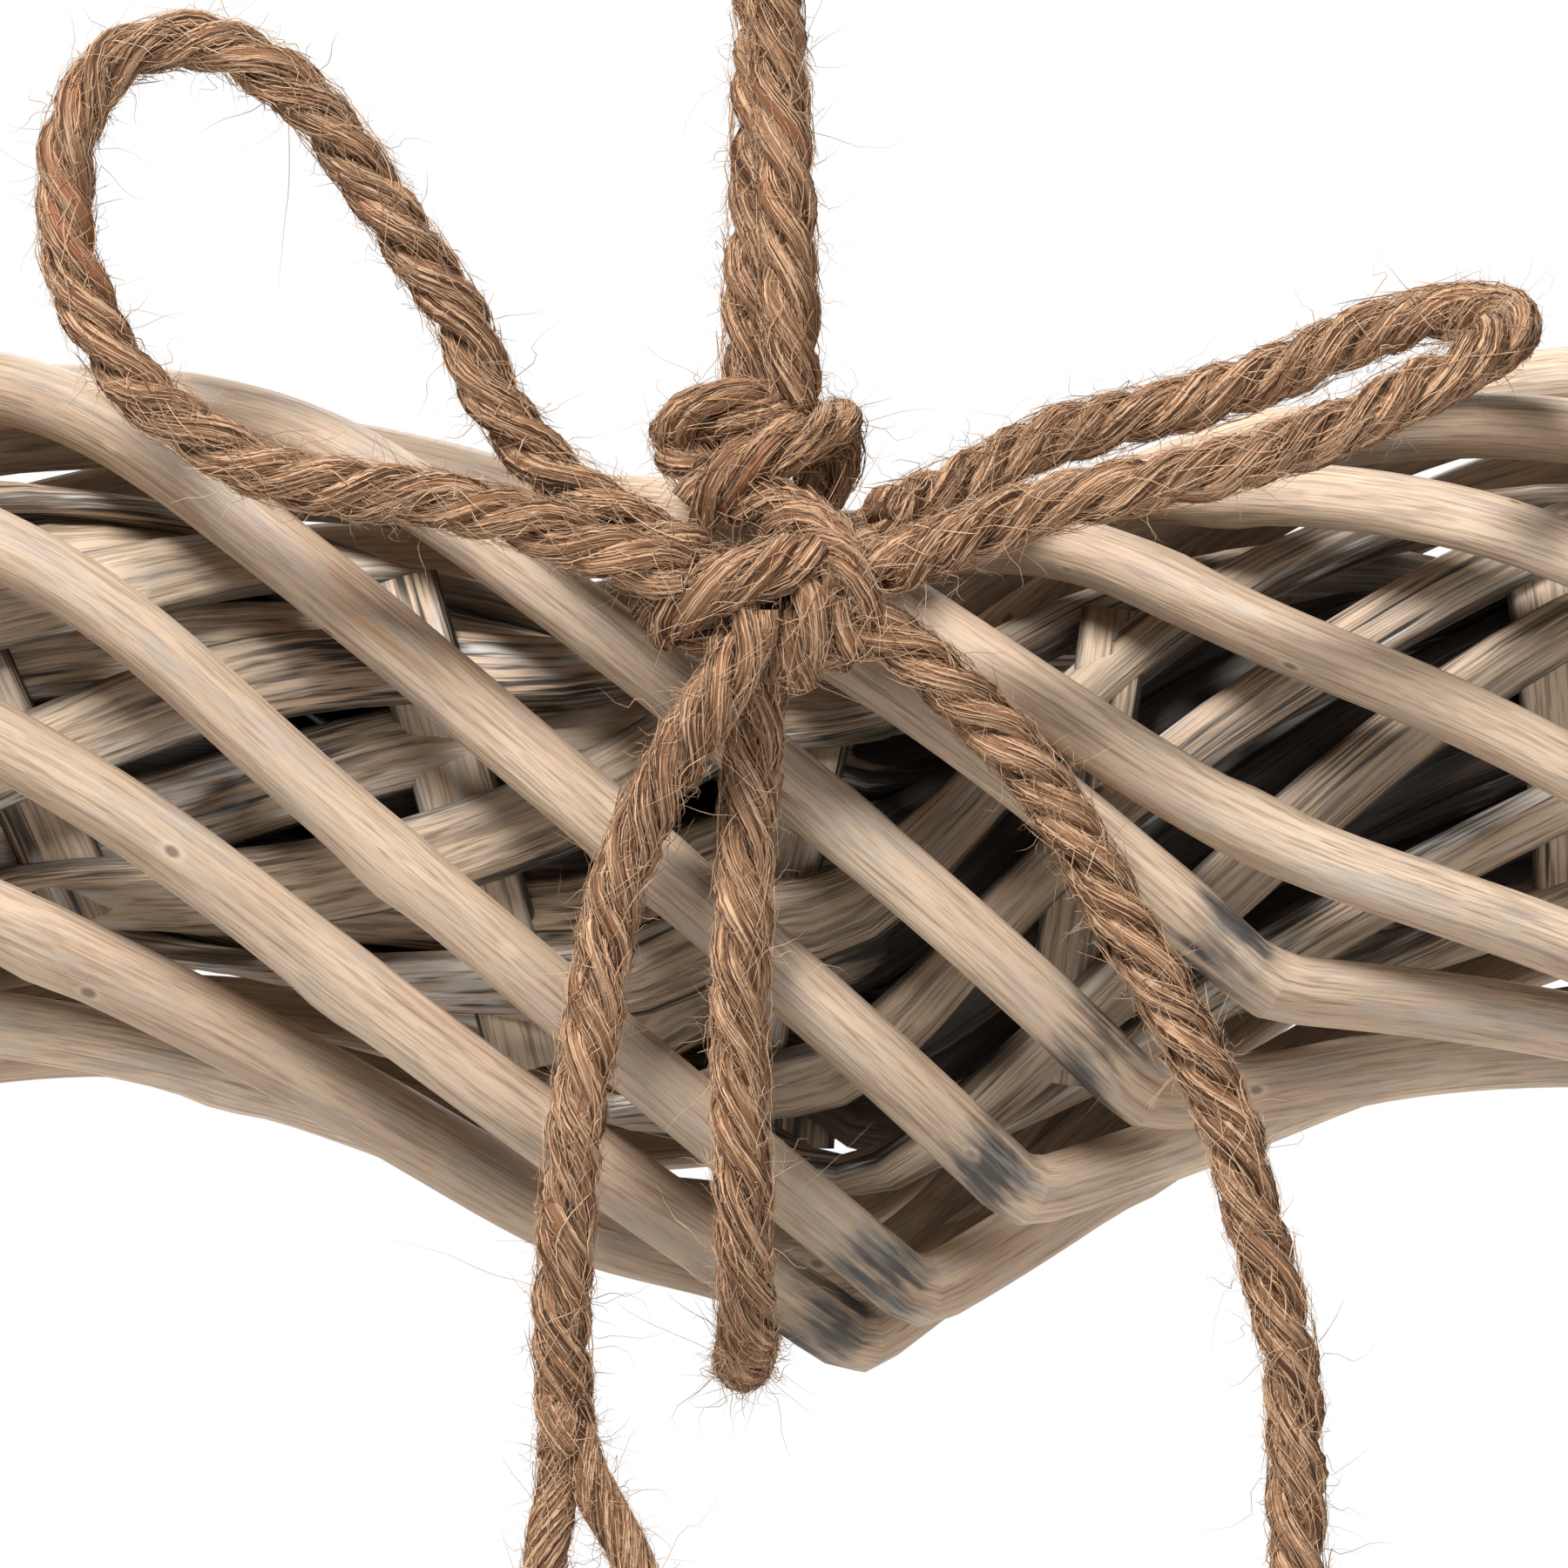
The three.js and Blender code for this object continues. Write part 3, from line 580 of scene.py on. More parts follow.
def carried_normals(spine):
    """Directions square to a spine that don't twist about it."""
    tangent = unit(np.gradient(spine, axis=0))
    start = np.array((0.0, -1.0, 0.0)) if abs(tangent[0][1]) < 0.8 else np.array((1.0, 0.0, 0.0))
    normals = []
    for direction in tangent:
        start = unit(start - direction * np.dot(start, direction))
        normals.append(start)
    return np.array(normals)


def around(sides):
    """Angles of a section's corners, in the order that turns the faces outwards."""
    return -2 * math.pi * np.arange(sides) / sides


def sweep(bm, spine, outward, section, along, stain_and_shade=None, fold=None):
    """Wraps a grid round a spine and caps it; section holds outward and sideways offsets."""
    stations, sides = section.shape[:2]
    _, outward, sideways = square_to(spine, outward)
    coordinates = (spine[:, None, :] + section[:, :, 0:1] * outward[:, None, :]
                   + section[:, :, 1:2] * sideways[:, None, :])
    uv = bm.loops.layers.uv.verify()
    # This vertex attribute holds the rods' kink stains and painted shade on the sunk between strips
    stain_and_shade_layer = bm.verts.layers.float.get("stain_and_shade") or bm.verts.layers.float.new("stain_and_shade")
    grid = bmesh.ops.create_grid(bm, x_segments=stations - 1, y_segments=sides, size=1.0)["verts"]
    place = {}
    corner = {}
    for vert in grid:
        i = round((vert.co.x + 1) / 2 * (stations - 1))
        j = round((vert.co.y + 1) / 2 * sides)
        place[vert] = (along[i], j / sides)
        corner[i, j] = vert
        vert.co = coordinates[i, j % sides]
        if stain_and_shade is not None:
            vert[stain_and_shade_layer] = stain_and_shade[i]
    for face in {face for vert in grid for face in vert.link_faces}:
        face.smooth = True
        for loop in face.loops:
            loop[uv].uv = place[loop.vert]
    seam = {corner[i, sides]: corner[i, 0] for i in range(stations)}
    bmesh.ops.weld_verts(bm, targetmap=seam)

    def ring_edges(i):
        ring = {corner[i, j] for j in range(sides)}
        return {edge for vert in ring for edge in vert.link_edges if edge.other_vert(vert) in ring}

    for i in (0, stations - 1):
        for face in bmesh.ops.contextual_create(bm, geom=list(ring_edges(i)))["faces"]:
            for loop in face.loops:
                loop[uv].uv = (along[i], place[loop.vert][1])
    if fold is not None:
        for edge in ring_edges(fold):
            edge.smooth = False


def finished(bm, name, material, replaced=()):
    """Makes the object of a mesh, which rides on the ornament's one body."""
    bmesh.ops.recalc_face_normals(bm, faces=bm.faces[:])
    mesh = bpy.data.meshes.new(name)
    bm.to_mesh(mesh)
    bm.free()
    return placed(mesh, name, material, replaced)


def placed(mesh, name, material, replaced=()):
    piece = bpy.data.objects.new(name, mesh)
    bpy.context.scene.collection.objects.link(piece)
    mesh.materials.append(material)
    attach(piece, "root")
    if replaced:
        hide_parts(*replaced)
    return piece


# Willow

def rod_routes(number):
    """Points that a rod runs through, in one stretch or in two that meet at its kink."""
    start = rod_start(number)
    stop = start + LAP - ROD_END_GAP
    kink_at = kink_place(rod_notch_angle(number))
    stations = [s for s in ROD_STATIONS if abs(s - kink_at) > KINK_CLEAR] + [kink_at]
    around_lap = stations + [-s for s in stations[1:]] + [HALF_LAP]
    places = [start + (s - start) % LAP for s in around_lap]
    places = [s for s in places if start + ROD_END_ROOM < s < stop - ROD_END_ROOM]
    places = sorted(places + [start, stop])
    points = [rod_point(number, s) for s in places]
    at_kink = [abs(from_notch(s) - kink_at) < SAME_PLACE for s in places]
    kink = at_kink.index(True) if any(at_kink) else None
    if kink is None or share_between(rod_notch_angle(number), *FRONT_RODS) == 0:
        return [points]
    return [points[:kink + 1], points[kink:]]


def willow_rod(number, material):
    """A peeled rod, slightly wavy and uneven, with buds; it folds sharply where it has a kink."""
    chance = random.Random(ROD_SEED + number)
    routes = rod_routes(number)
    spine, places = curve_through(routes[0], ROD_STEP)
    spine = eased(spine, ROD_EASING)
    fold = None
    for route in routes[1:]:
        fold = len(places) - 1
        further, more = curve_through(route, ROD_STEP)
        spine = np.concatenate((spine, eased(further, ROD_EASING)[1:]))
        places = np.concatenate((places, places[-1] + more[1:]))
    spine = eased(spine, FOLD_EASING)
    _, outward, sideways = square_to(spine, carried_normals(spine))
    wave = 2 * math.pi * places / chance.uniform(*ROD_WAVE_LENGTH) + chance.uniform(*ANY_PHASE)
    waved_out = np.cos(ROD_WAVE_OUTWARD * wave)[:, None] * outward
    spine += ROD_WANDER * (np.sin(wave)[:, None] * sideways + waved_out)
    share = places / places[-1]
    radius = ROD_GIRTHS[number] * (ROD_BUTT_RADIUS + (ROD_TIP_RADIUS - ROD_BUTT_RADIUS) * share)
    angle = around(ROD_SIDES)[None, :]
    oval_turn = chance.uniform(*ANY_PHASE) + ROD_OVAL_TURN * places[:, None]
    size = 1 + ROD_OVAL * np.cos(2 * angle - oval_turn)
    size = size + ROD_THREE_SIDED * ROD_OVAL * np.cos(3 * angle + 2 * oval_turn)
    size = radius[:, None] * size
    bud_at = chance.uniform(*BUD_FIRST)
    while bud_at < places[-1]:
        lobe = np.maximum(0, np.cos(angle - chance.uniform(*ANY_ANGLE))) ** 2
        swell = BUD_HEIGHT * np.exp(-(((places[:, None] - bud_at) / BUD_LENGTH) ** 2))
        size = size + swell * (BUD_RING + lobe)
        bud_at += chance.uniform(*BUD_SPACING)
    size[0] *= ROD_END_TAPER
    size[-1] *= ROD_END_TAPER
    stain_and_shade = np.zeros(len(places))
    if fold is not None:
        size[fold] *= FOLD_SWELL
        stain_and_shade = np.exp(-(((places - places[fold] + STAIN_BEFORE) / STAIN_REACH) ** 2))
    section = np.stack((size * np.cos(angle), size * np.sin(angle)), axis=2)
    bm = bmesh.new()
    sweep(bm, spine, outward, section, places + ROD_GRAIN_SHIFT * number, stain_and_shade, fold)
    node = f"rod_{number + 1:02d}"
    return finished(bm, "willow_" + node, material, [node])


def flat_section(widths, thicknesses, sides):
    """Section of a split strip, flat with rounded edges, at each station."""
    angle = around(sides)
    out = np.sign(np.cos(angle)) * np.abs(np.cos(angle)) ** STRIP_FACE_ROUNDING
    side = np.sign(np.sin(angle)) * np.abs(np.sin(angle)) ** STRIP_EDGE_ROUNDING
    return np.stack((thicknesses[:, None] / 2 * out, widths[:, None] / 2 * side), axis=2)


def lining_strip(bm, first_degrees, start, half_width, half_depth, shade, sinks=0.0):
    """One split strip, a lap long; on the right it is a thin rod, or it sinks into the dark, painted
    black there as shade.
    """
    places = np.arange(start, start + LAP - STRIP_END_GAP, STRIP_STEP)
    signed = np.array([from_notch(s) for s in places])
    first, rise = THIN_ROD_FROM
    last, fall = THIN_ROD_TO
    right = np.clip((signed - first) / rise, 0, 1) * np.clip((last - signed) / fall, 0, 1)
    spine = []
    outward = []
    for s, share in zip(places, right):
        wobble = STRIP_WOBBLE * math.sin(STRIP_WOBBLE_WAVES * s + STRIP_WOBBLE_SHIFT * shade)
        angle = math.radians(first_degrees + turn_along(s, STRIP_WINDING) + wobble)
        inward = half_width * math.sin(angle) * (1 - sinks * share)
        forward = half_depth * math.cos(angle) * (1 - sinks * share)
        point = band_point(s, inward, forward)
        lift_in = math.sin(angle) / half_width * SMALL_LIFT
        lift_out = math.cos(angle) / half_depth * SMALL_LIFT
        spine.append(point)
        outward.append(band_point(s, inward + lift_in, forward + lift_out) - point)
    spine = eased(np.array(spine), STRIP_EASING)
    ripple = 1
    for height, waves, shift in STRIP_RIPPLES:
        ripple = ripple + height * np.sin(places * waves + shift * shade)
    widths = (STRIP_WIDTH + (THIN_ROD_WIDTH - STRIP_WIDTH) * right) * ripple
    thicknesses = STRIP_THICKNESS + (THIN_ROD_THICKNESS - STRIP_THICKNESS) * right
    section = flat_section(widths, thicknesses, STRIP_SIDES)
    # Painted shade: where a between strip sinks out of sight on the right, it is painted black
    blacking = BETWEEN_PAINTED_SHADE * right if sinks else None
    sweep(bm, spine, np.array(outward), section, places + STRIP_GRAIN_SHIFT * shade, blacking)


def lining_start(number):
    return HALF_LAP * (STRIP_FIRST_START + number * STRIP_START_SPREAD / STRIP_COUNT)


def lining(material, painted_shade_material):
    """The outer strips, those laid between them, and the ones deep inside, painted near-black as
    shade.
    """
    for number in range(STRIP_COUNT):
        bm = bmesh.new()
        lining_strip(bm, number * 360 / STRIP_COUNT, lining_start(number),
                     STRIP_HALF_WIDTH, STRIP_HALF_DEPTH, number)
        node = f"strip_{number + 1:02d}"
        finished(bm, "split_" + node, material, [node])
    between = bmesh.new()
    core = bmesh.new()
    for number in range(STRIP_COUNT):
        degrees = (number + 0.5) * 360 / STRIP_COUNT
        start = lining_start(number + BETWEEN_SHIFT)
        lining_strip(between, degrees, start, BETWEEN_HALF_WIDTH, BETWEEN_HALF_DEPTH,
                     number + BETWEEN_FIRST_SHADE, BETWEEN_SINKS)
        # The strips deep inside carry painted shade: their finish is near-black
        lining_strip(core, degrees, start, CORE_HALF_WIDTH, CORE_HALF_DEPTH,
                     number + CORE_FIRST_SHADE)
    finished(between, "between_strips", material)
    finished(core, "painted_shade_core_strips", painted_shade_material)


def cross_strips(material):
    """Short strips woven across the lining, over one strip and under the next, front and back."""
    chance = random.Random(CROSS_SEED)
    bm = bmesh.new()
    for number in range(CROSS_COUNT):
        for side in (1, -1):
            middle = LAP * (number + chance.uniform(*CROSS_JITTER)) / CROSS_COUNT
            lean = chance.uniform(*CROSS_LEAN)
            phase = chance.uniform(*ANY_ANGLE)
            inwards = np.linspace(-CROSS_REACH, CROSS_REACH, CROSS_STATIONS)
            depth = side * (CROSS_DEPTH + CROSS_WEAVE * np.sin(inwards * CROSS_WAVES + phase))
            depth *= 1 - CROSS_TUCK * (inwards / CROSS_REACH) ** 4
            spine = np.array([band_point(middle + lean * inward, inward, forward)
                              for inward, forward in zip(inwards, depth)])
            outward = np.tile((0.0, -float(side), 0.0), (len(inwards), 1))
            widths = np.full(len(inwards), chance.uniform(*CROSS_WIDTH))
            thicknesses = np.full(len(inwards), CROSS_THICKNESS)
            section = flat_section(widths, thicknesses, CROSS_SIDES)
            by_number, by_side = CROSS_GRAIN_SHIFT
            sweep(bm, spine, outward, section, inwards + by_number * number + by_side * side)
    finished(bm, "cross_strips", material)


# Rope

def plies_of(route, seed):
    """Centre line and outward directions of each of a rope's plies, laid left-handed."""
    spine, along = curve_through(route)
    normals = carried_normals(spine)
    _, normals, sideways = square_to(spine, normals)
    chance = random.Random(seed)
    start = chance.uniform(*ANY_ANGLE)
    lay = ROPE_LAY * chance.uniform(*ROPE_LAY_VARIES)
    sway, sway_waves = PLY_SWAY
    spread, spread_waves = PLY_SPREAD
    plies = []
    for number in range(ROPE_PLIES):
        turn = start - 2 * math.pi * (along / lay - number / ROPE_PLIES)
        turn = turn + sway * np.sin(along * sway_waves + seed + 2 * number)
        outward = np.cos(turn)[:, None] * normals + np.sin(turn)[:, None] * sideways
        centre = PLY_CENTRE * (1 + spread * np.sin(along * spread_waves + 3 * number + seed))
        plies.append((spine + centre[:, None] * outward, outward, along))
    return (spine, normals, along), plies


def ply_section(along, radius, seed):
    """Uneven section of a ply, ridged by its fibres, which twist the other way from the rope."""
    angle = around(PLY_SIDES)[None, :]
    along = along[:, None]
    fibre = angle - FIBRE_TURN * along
    (ridge, ridges), (small_ridge, small_ridges) = PLY_RIDGES
    (lump, lumps), (small_lump, small_lumps) = PLY_LUMPS
    size = 1 + ridge * np.sin(ridges * fibre + seed)
    size = size + small_ridge * np.sin(small_ridges * fibre + PLY_RIDGE_DRIFT * along)
    size = size * (1 + lump * np.sin(along * lumps + seed) + small_lump * np.sin(along * small_lumps))
    size = radius * size
    return np.stack((size * np.cos(angle), size * np.sin(angle)), axis=2)


def twisted(bm, plies, seed, radius=PLY_RADIUS):
    by_seed, by_number = PLY_GRAIN_SHIFT
    for number, (spine, outward, along) in enumerate(plies):
        section = ply_section(along, radius, seed + 5 * number)
        sweep(bm, spine, outward, section, along + by_seed * seed + by_number * number)


def strand_template(rings):
    """A thin three-sided strand, pointed at both ends, with the ring and side of each vertex."""
    bm = bmesh.new()
    grid = bmesh.ops.create_grid(bm, x_segments=rings - 1, y_segments=STRAND_SIDES, size=1.0)["verts"]
    place = {}
    for vert in grid:
        ring = round((vert.co.x + 1) / 2 * (rings - 1))
        side = round((vert.co.y + 1) / 2 * STRAND_SIDES)
        place[ring, side] = vert
    seam = {place[ring, STRAND_SIDES]: place[ring, 0] for ring in range(rings)}
    for ring in (0, rings - 1):
        for side in range(1, STRAND_SIDES + 1):
            seam[place[ring, side]] = place[ring, 0]
    spots = {vert: key for key, vert in place.items() if vert not in seam}
    bmesh.ops.weld_verts(bm, targetmap=seam)
    for face in bm.faces:
        face.smooth = True
    spots = [spots[vert] for vert in bm.verts]
    mesh = bpy.data.meshes.new("strand_template")
    bm.to_mesh(mesh)
    bm.free()
    return mesh, spots


def strands(name, paths, thickness, material):
    """Thin strands along the given paths, an array of strands by rings by coordinates."""
    count, rings = paths.shape[:2]
    template, spots = strand_template(rings)
    bm = bmesh.new()
    bm.from_mesh(template)
    verts, edges, faces = len(bm.verts), len(bm.edges), len(bm.faces)
    bpy.data.meshes.remove(template)
    made = 1
    while made < count:
        more = min(made, count - made)
        copied = bm.verts[:more * verts] + bm.edges[:more * edges] + bm.faces[:more * faces]
        bmesh.ops.duplicate(bm, geom=copied)
        made += more
    mesh = bpy.data.meshes.new(name)
    bm.to_mesh(mesh)
    bm.free()
    tangent = unit(np.gradient(paths, axis=1))
    aside = unit(np.cross(tangent, np.array(STRAND_ASIDE)))
    across = np.cross(tangent, aside)
    share = np.linspace(0, 1, rings)
    taper = np.minimum(1.0, STRAND_ROOT_TAPER * share) * (1 - share ** 3)
    coordinates = np.empty((count, len(spots), 3))
    tints = np.empty((count, len(spots)))
    colour = np.random.default_rng(count).random(count)
    for index, (ring, side) in enumerate(spots):
        angle = -2 * math.pi * side / STRAND_SIDES
        reach = (thickness * taper[ring])[:, None]
        coordinates[:, index] = (paths[:, ring] + reach * math.cos(angle) * aside[:, ring]
                                 + reach * math.sin(angle) * across[:, ring])
        tints[:, index] = share[ring]
    mesh.vertices.foreach_set("co", coordinates.astype(np.float32).ravel())
    owners = np.empty(len(mesh.loops), np.int32)
    mesh.loops.foreach_get("vertex_index", owners)
    layer = mesh.uv_layers.new(name="UVMap")
    flat = np.stack((colour[owners // len(spots)], tints.ravel()[owners]), axis=1)
    layer.data.foreach_set("uv", flat.astype(np.float32).ravel())
    mesh.update()
    return placed(mesh, name, material)


def on_ply(ply, along, angle, height):
    """Points at distances along a ply, at angles round it and at heights from its centre line."""
    spine, outward, reached = ply
    index = np.clip(along / reached[-1] * (len(reached) - 1), 0, len(reached) - 1.001)
    low = index.astype(int)
    share = (index - low)[..., None]
    tangent, outward, sideways = square_to(spine, outward)

    def between(values):
        return values[low] * (1 - share) + values[low + 1] * share

    direction = np.cos(angle)[..., None] * between(outward)
    direction = direction + np.sin(angle)[..., None] * between(sideways)
    return between(spine) + height[..., None] * direction, direction, between(tangent)


def strand_starts(line, count, dice):
    """Where strands begin along a ply or rope, from just before it to just before its end."""
    before, short = STRAND_ENDS
    return dice.uniform(before, line[2][-1] - short, (count, 1))


def fibre_paths(ply, count, radius, dice):
    """Fibres that lie along a ply's skin and lift a little at their ends."""
    share = np.linspace(0, 1, FIBRE_RINGS)[None, :]
    length = dice.uniform(*FIBRE_LENGTH, (count, 1))
    start = strand_starts(ply, count, dice)
    along = start + length * share
    turned = FIBRE_TURN * (along - start) * dice.uniform(*FIBRE_TURN_VARIES, (count, 1))
    angle = dice.uniform(*ANY_ANGLE, (count, 1)) + turned
    lift = dice.uniform(*FIBRE_LIFT, (count, 1)) * np.abs(2 * share - 1) ** 3
    return on_ply(ply, along, angle, radius * FIBRE_HEIGHT + lift)[0]


def stray_paths(core, count, height, dice):
    """Loose fibres that wander over the whole rope, across its grooves."""
    share = np.linspace(0, 1, FIBRE_RINGS)[None, :]
    length = dice.uniform(*STRAY_LENGTH, (count, 1))
    start = strand_starts(core, count, dice)
    along = start + length * share
    tilt = dice.normal(0, STRAY_TILT, (count, 1))
    bend = dice.normal(0, STRAY_BEND, (count, 1))
    bend = bend * np.sin(math.pi * share * dice.uniform(*STRAY_BENDS, (count, 1)))
    angle = dice.uniform(*ANY_ANGLE, (count, 1)) + tilt * (along - start) + bend
    ends = dice.uniform(*STRAY_LIFT, (count, 1)) * np.abs(2 * share - 1) ** 3
    wave_height, waves = STRAY_WAVE
    wave = wave_height * np.sin(share * waves + dice.uniform(*ANY_ANGLE, (count, 1)))
    height = height * dice.uniform(*STRAY_HEIGHT_VARIES, (count, 1)) + ends + wave
    return on_ply(core, along, angle, height)[0]


def hair_paths(ply, count, radius, dice):
    """Loose hairs that stand off a ply and curl."""
    share = np.linspace(0, 1, HAIR_RINGS)[None, :, None]
    along = dice.uniform(0, ply[2][-1], (count, 1))
    angle = dice.uniform(*ANY_ANGLE, (count, 1))
    root, out, tangent = on_ply(ply, along, angle, np.full((count, 1), radius * HAIR_ROOT))
    lean = dice.normal(0, HAIR_LEAN, (count, 1, 1))
    stray = dice.normal(0, HAIR_STRAY, (count, 1, 3))
    direction = unit(HAIR_OUTWARD * out + lean * tangent + stray)
    length = dice.gamma(*HAIR_LENGTH, (count, 1, 1)) + HAIR_SHORTEST
    curl = dice.normal(0, HAIR_CURL, (count, 1, 3))
    crimp, crimps = HAIR_CRIMP
    crimp = dice.normal(0, crimp, (count, 1, 3)) * np.sin(share * crimps)
    return root + length * (share * direction + share ** 2 * curl + crimp)


def fuzz_of(name, cores, plies, radius, height, seed, material):
    """The fibres along plies, those that stray over their ropes, and the hairs that stand off."""
    dice = np.random.default_rng(seed)
    lying = []
    standing = []

    def count_on(length, per_metre):
        return max(FEWEST_STRANDS, int(per_metre * length))

    for ply in plies:
        share = float(ply[2][-1]) * len(cores) / len(plies)
        lying.append(fibre_paths(ply, count_on(share, FIBRES_PER_METRE), radius, dice))
        standing.append(hair_paths(ply, count_on(share, HAIRS_PER_METRE), radius, dice))
    for core in cores:
        count = count_on(float(core[2][-1]), STRAYS_PER_METRE)
        lying.append(stray_paths(core, count, height, dice))
    fuzz = []
    for kind, paths, thickness in (("_fibres", lying, FIBRE_THICKNESS),
                                   ("_hairs", standing, HAIR_THICKNESS)):
        paths = np.concatenate(paths)
        fuzz.append(strands(name + kind, paths, dice.uniform(*thickness, len(paths)), material))
    return fuzz


def rope(name, route, seed, materials, node):
    """A rope of three plies with its fuzz; returns the rope, its fuzz, its line and its length."""
    core, plies = plies_of(route, seed)
    bm = bmesh.new()
    twisted(bm, plies, seed)
    piece = finished(bm, name, materials["jute"], [node])
    fuzz = fuzz_of(name, [core], plies, PLY_RADIUS, STRAY_HEIGHT, seed, materials["fuzz"])
    return piece, fuzz, core[0], float(core[2][-1])


def knot(name, turns, seed, materials, node):
    """The turns of rope in a knot, as one piece, with its fuzz."""
    bm = bmesh.new()
    cores = []
    plies = []
    for number, route in enumerate(turns):
        core, turn_plies = plies_of(route, seed + number)
        twisted(bm, turn_plies, seed + number)
        cores.append(core)
        plies += turn_plies
    piece = finished(bm, name, materials["jute"], [node])
    return [piece] + fuzz_of(name, cores, plies, PLY_RADIUS, STRAY_HEIGHT, seed, materials["fuzz"])


def loose_ply(name, route, seed, materials):
    """One ply of the unravelled end of the left tail."""
    spine, along = curve_through(route)
    ply = (spine, carried_normals(spine), along)
    bm = bmesh.new()
    twisted(bm, [ply], seed, LOOSE_PLY_RADIUS)
    piece = finished(bm, name, materials["jute"])
    radius = LOOSE_PLY_RADIUS
    return [piece] + fuzz_of(name, [ply], [ply], radius, radius, seed, materials["fuzz"])


# Finishes

def put(tree, kind, inputs=None, **settings):
    node = tree.nodes.new(kind)
    for key, value in settings.items():
        setattr(node, key, value)
    for key, value in (inputs or {}).items():
        if isinstance(value, bpy.types.NodeSocket):
            tree.links.new(value, node.inputs[key])
        else:
            node.inputs[key].default_value = value
    return node


def maths(tree, operation, first, second=0.0):
    return put(tree, "ShaderNodeMath", {0: first, 1: second}, operation=operation).outputs[0]


def ranged(tree, value, low, high, to_low=0.0, to_high=1.0):
    return put(tree, "ShaderNodeMapRange", {
        "Value": value, "From Min": low, "From Max": high, "To Min": to_low, "To Max": to_high,
    }, interpolation_type="SMOOTHSTEP").outputs["Result"]


def blended(tree, share, first, second):
    node = put(tree, "ShaderNodeMix", {0: share, 6: first, 7: second}, data_type="RGBA")
    return node.outputs[2]


def stretched(tree, vector, stretch):
    """Coordinates multiplied by their own scale along each axis."""
    node = put(tree, "ShaderNodeVectorMath", {0: vector, 1: stretch}, operation="MULTIPLY")
    return node.outputs[0]


def noise(tree, vector, stretch, detail, roughness):
    made = put(tree, "ShaderNodeTexNoise", {
        "Vector": stretched(tree, vector, stretch), "Scale": 1.0,
        "Detail": detail, "Roughness": roughness,
    })
    return made.outputs["Fac"]


def new_group(name, inputs, outputs):
    tree = bpy.data.node_groups.new(name, "ShaderNodeTree")
    for label, kind, value in inputs:
        socket = tree.interface.new_socket(label, in_out="INPUT", socket_type=kind)
        socket.default_value = value
    for label, kind in outputs:
        tree.interface.new_socket(label, in_out="OUTPUT", socket_type=kind)
    return tree, put(tree, "NodeGroupInput").outputs, put(tree, "NodeGroupOutput").inputs


def place_group(tree, group, values):
    node = put(tree, "ShaderNodeGroup", node_tree=group)
    for key, value in values.items():
        node.inputs[key].default_value = value
    return node.outputs


def round_coordinates_group():
    """Coordinates that run along a rod or ply and close round it without a seam."""
    tree, given, result = new_group("round_coordinates", [
        ("Radius", "NodeSocketFloat", MEAN_ROD_RADIUS),
        ("Twist", "NodeSocketFloat", 0.0),
    ], [("Vector", "NodeSocketVector")])
    uv = put(tree, "ShaderNodeTexCoord").outputs["UV"]
    parts = put(tree, "ShaderNodeSeparateXYZ", {0: uv}).outputs
    turned = maths(tree, "ADD", parts[1], maths(tree, "MULTIPLY", parts[0], given["Twist"]))
    angle = maths(tree, "MULTIPLY", turned, 2 * math.pi)
    y = maths(tree, "MULTIPLY", maths(tree, "COSINE", angle), given["Radius"])
    z = maths(tree, "MULTIPLY", maths(tree, "SINE", angle), given["Radius"])
    joined = put(tree, "ShaderNodeCombineXYZ", {0: parts[0], 1: y, 2: z}).outputs[0]
    tree.links.new(joined, result["Vector"])
    return tree


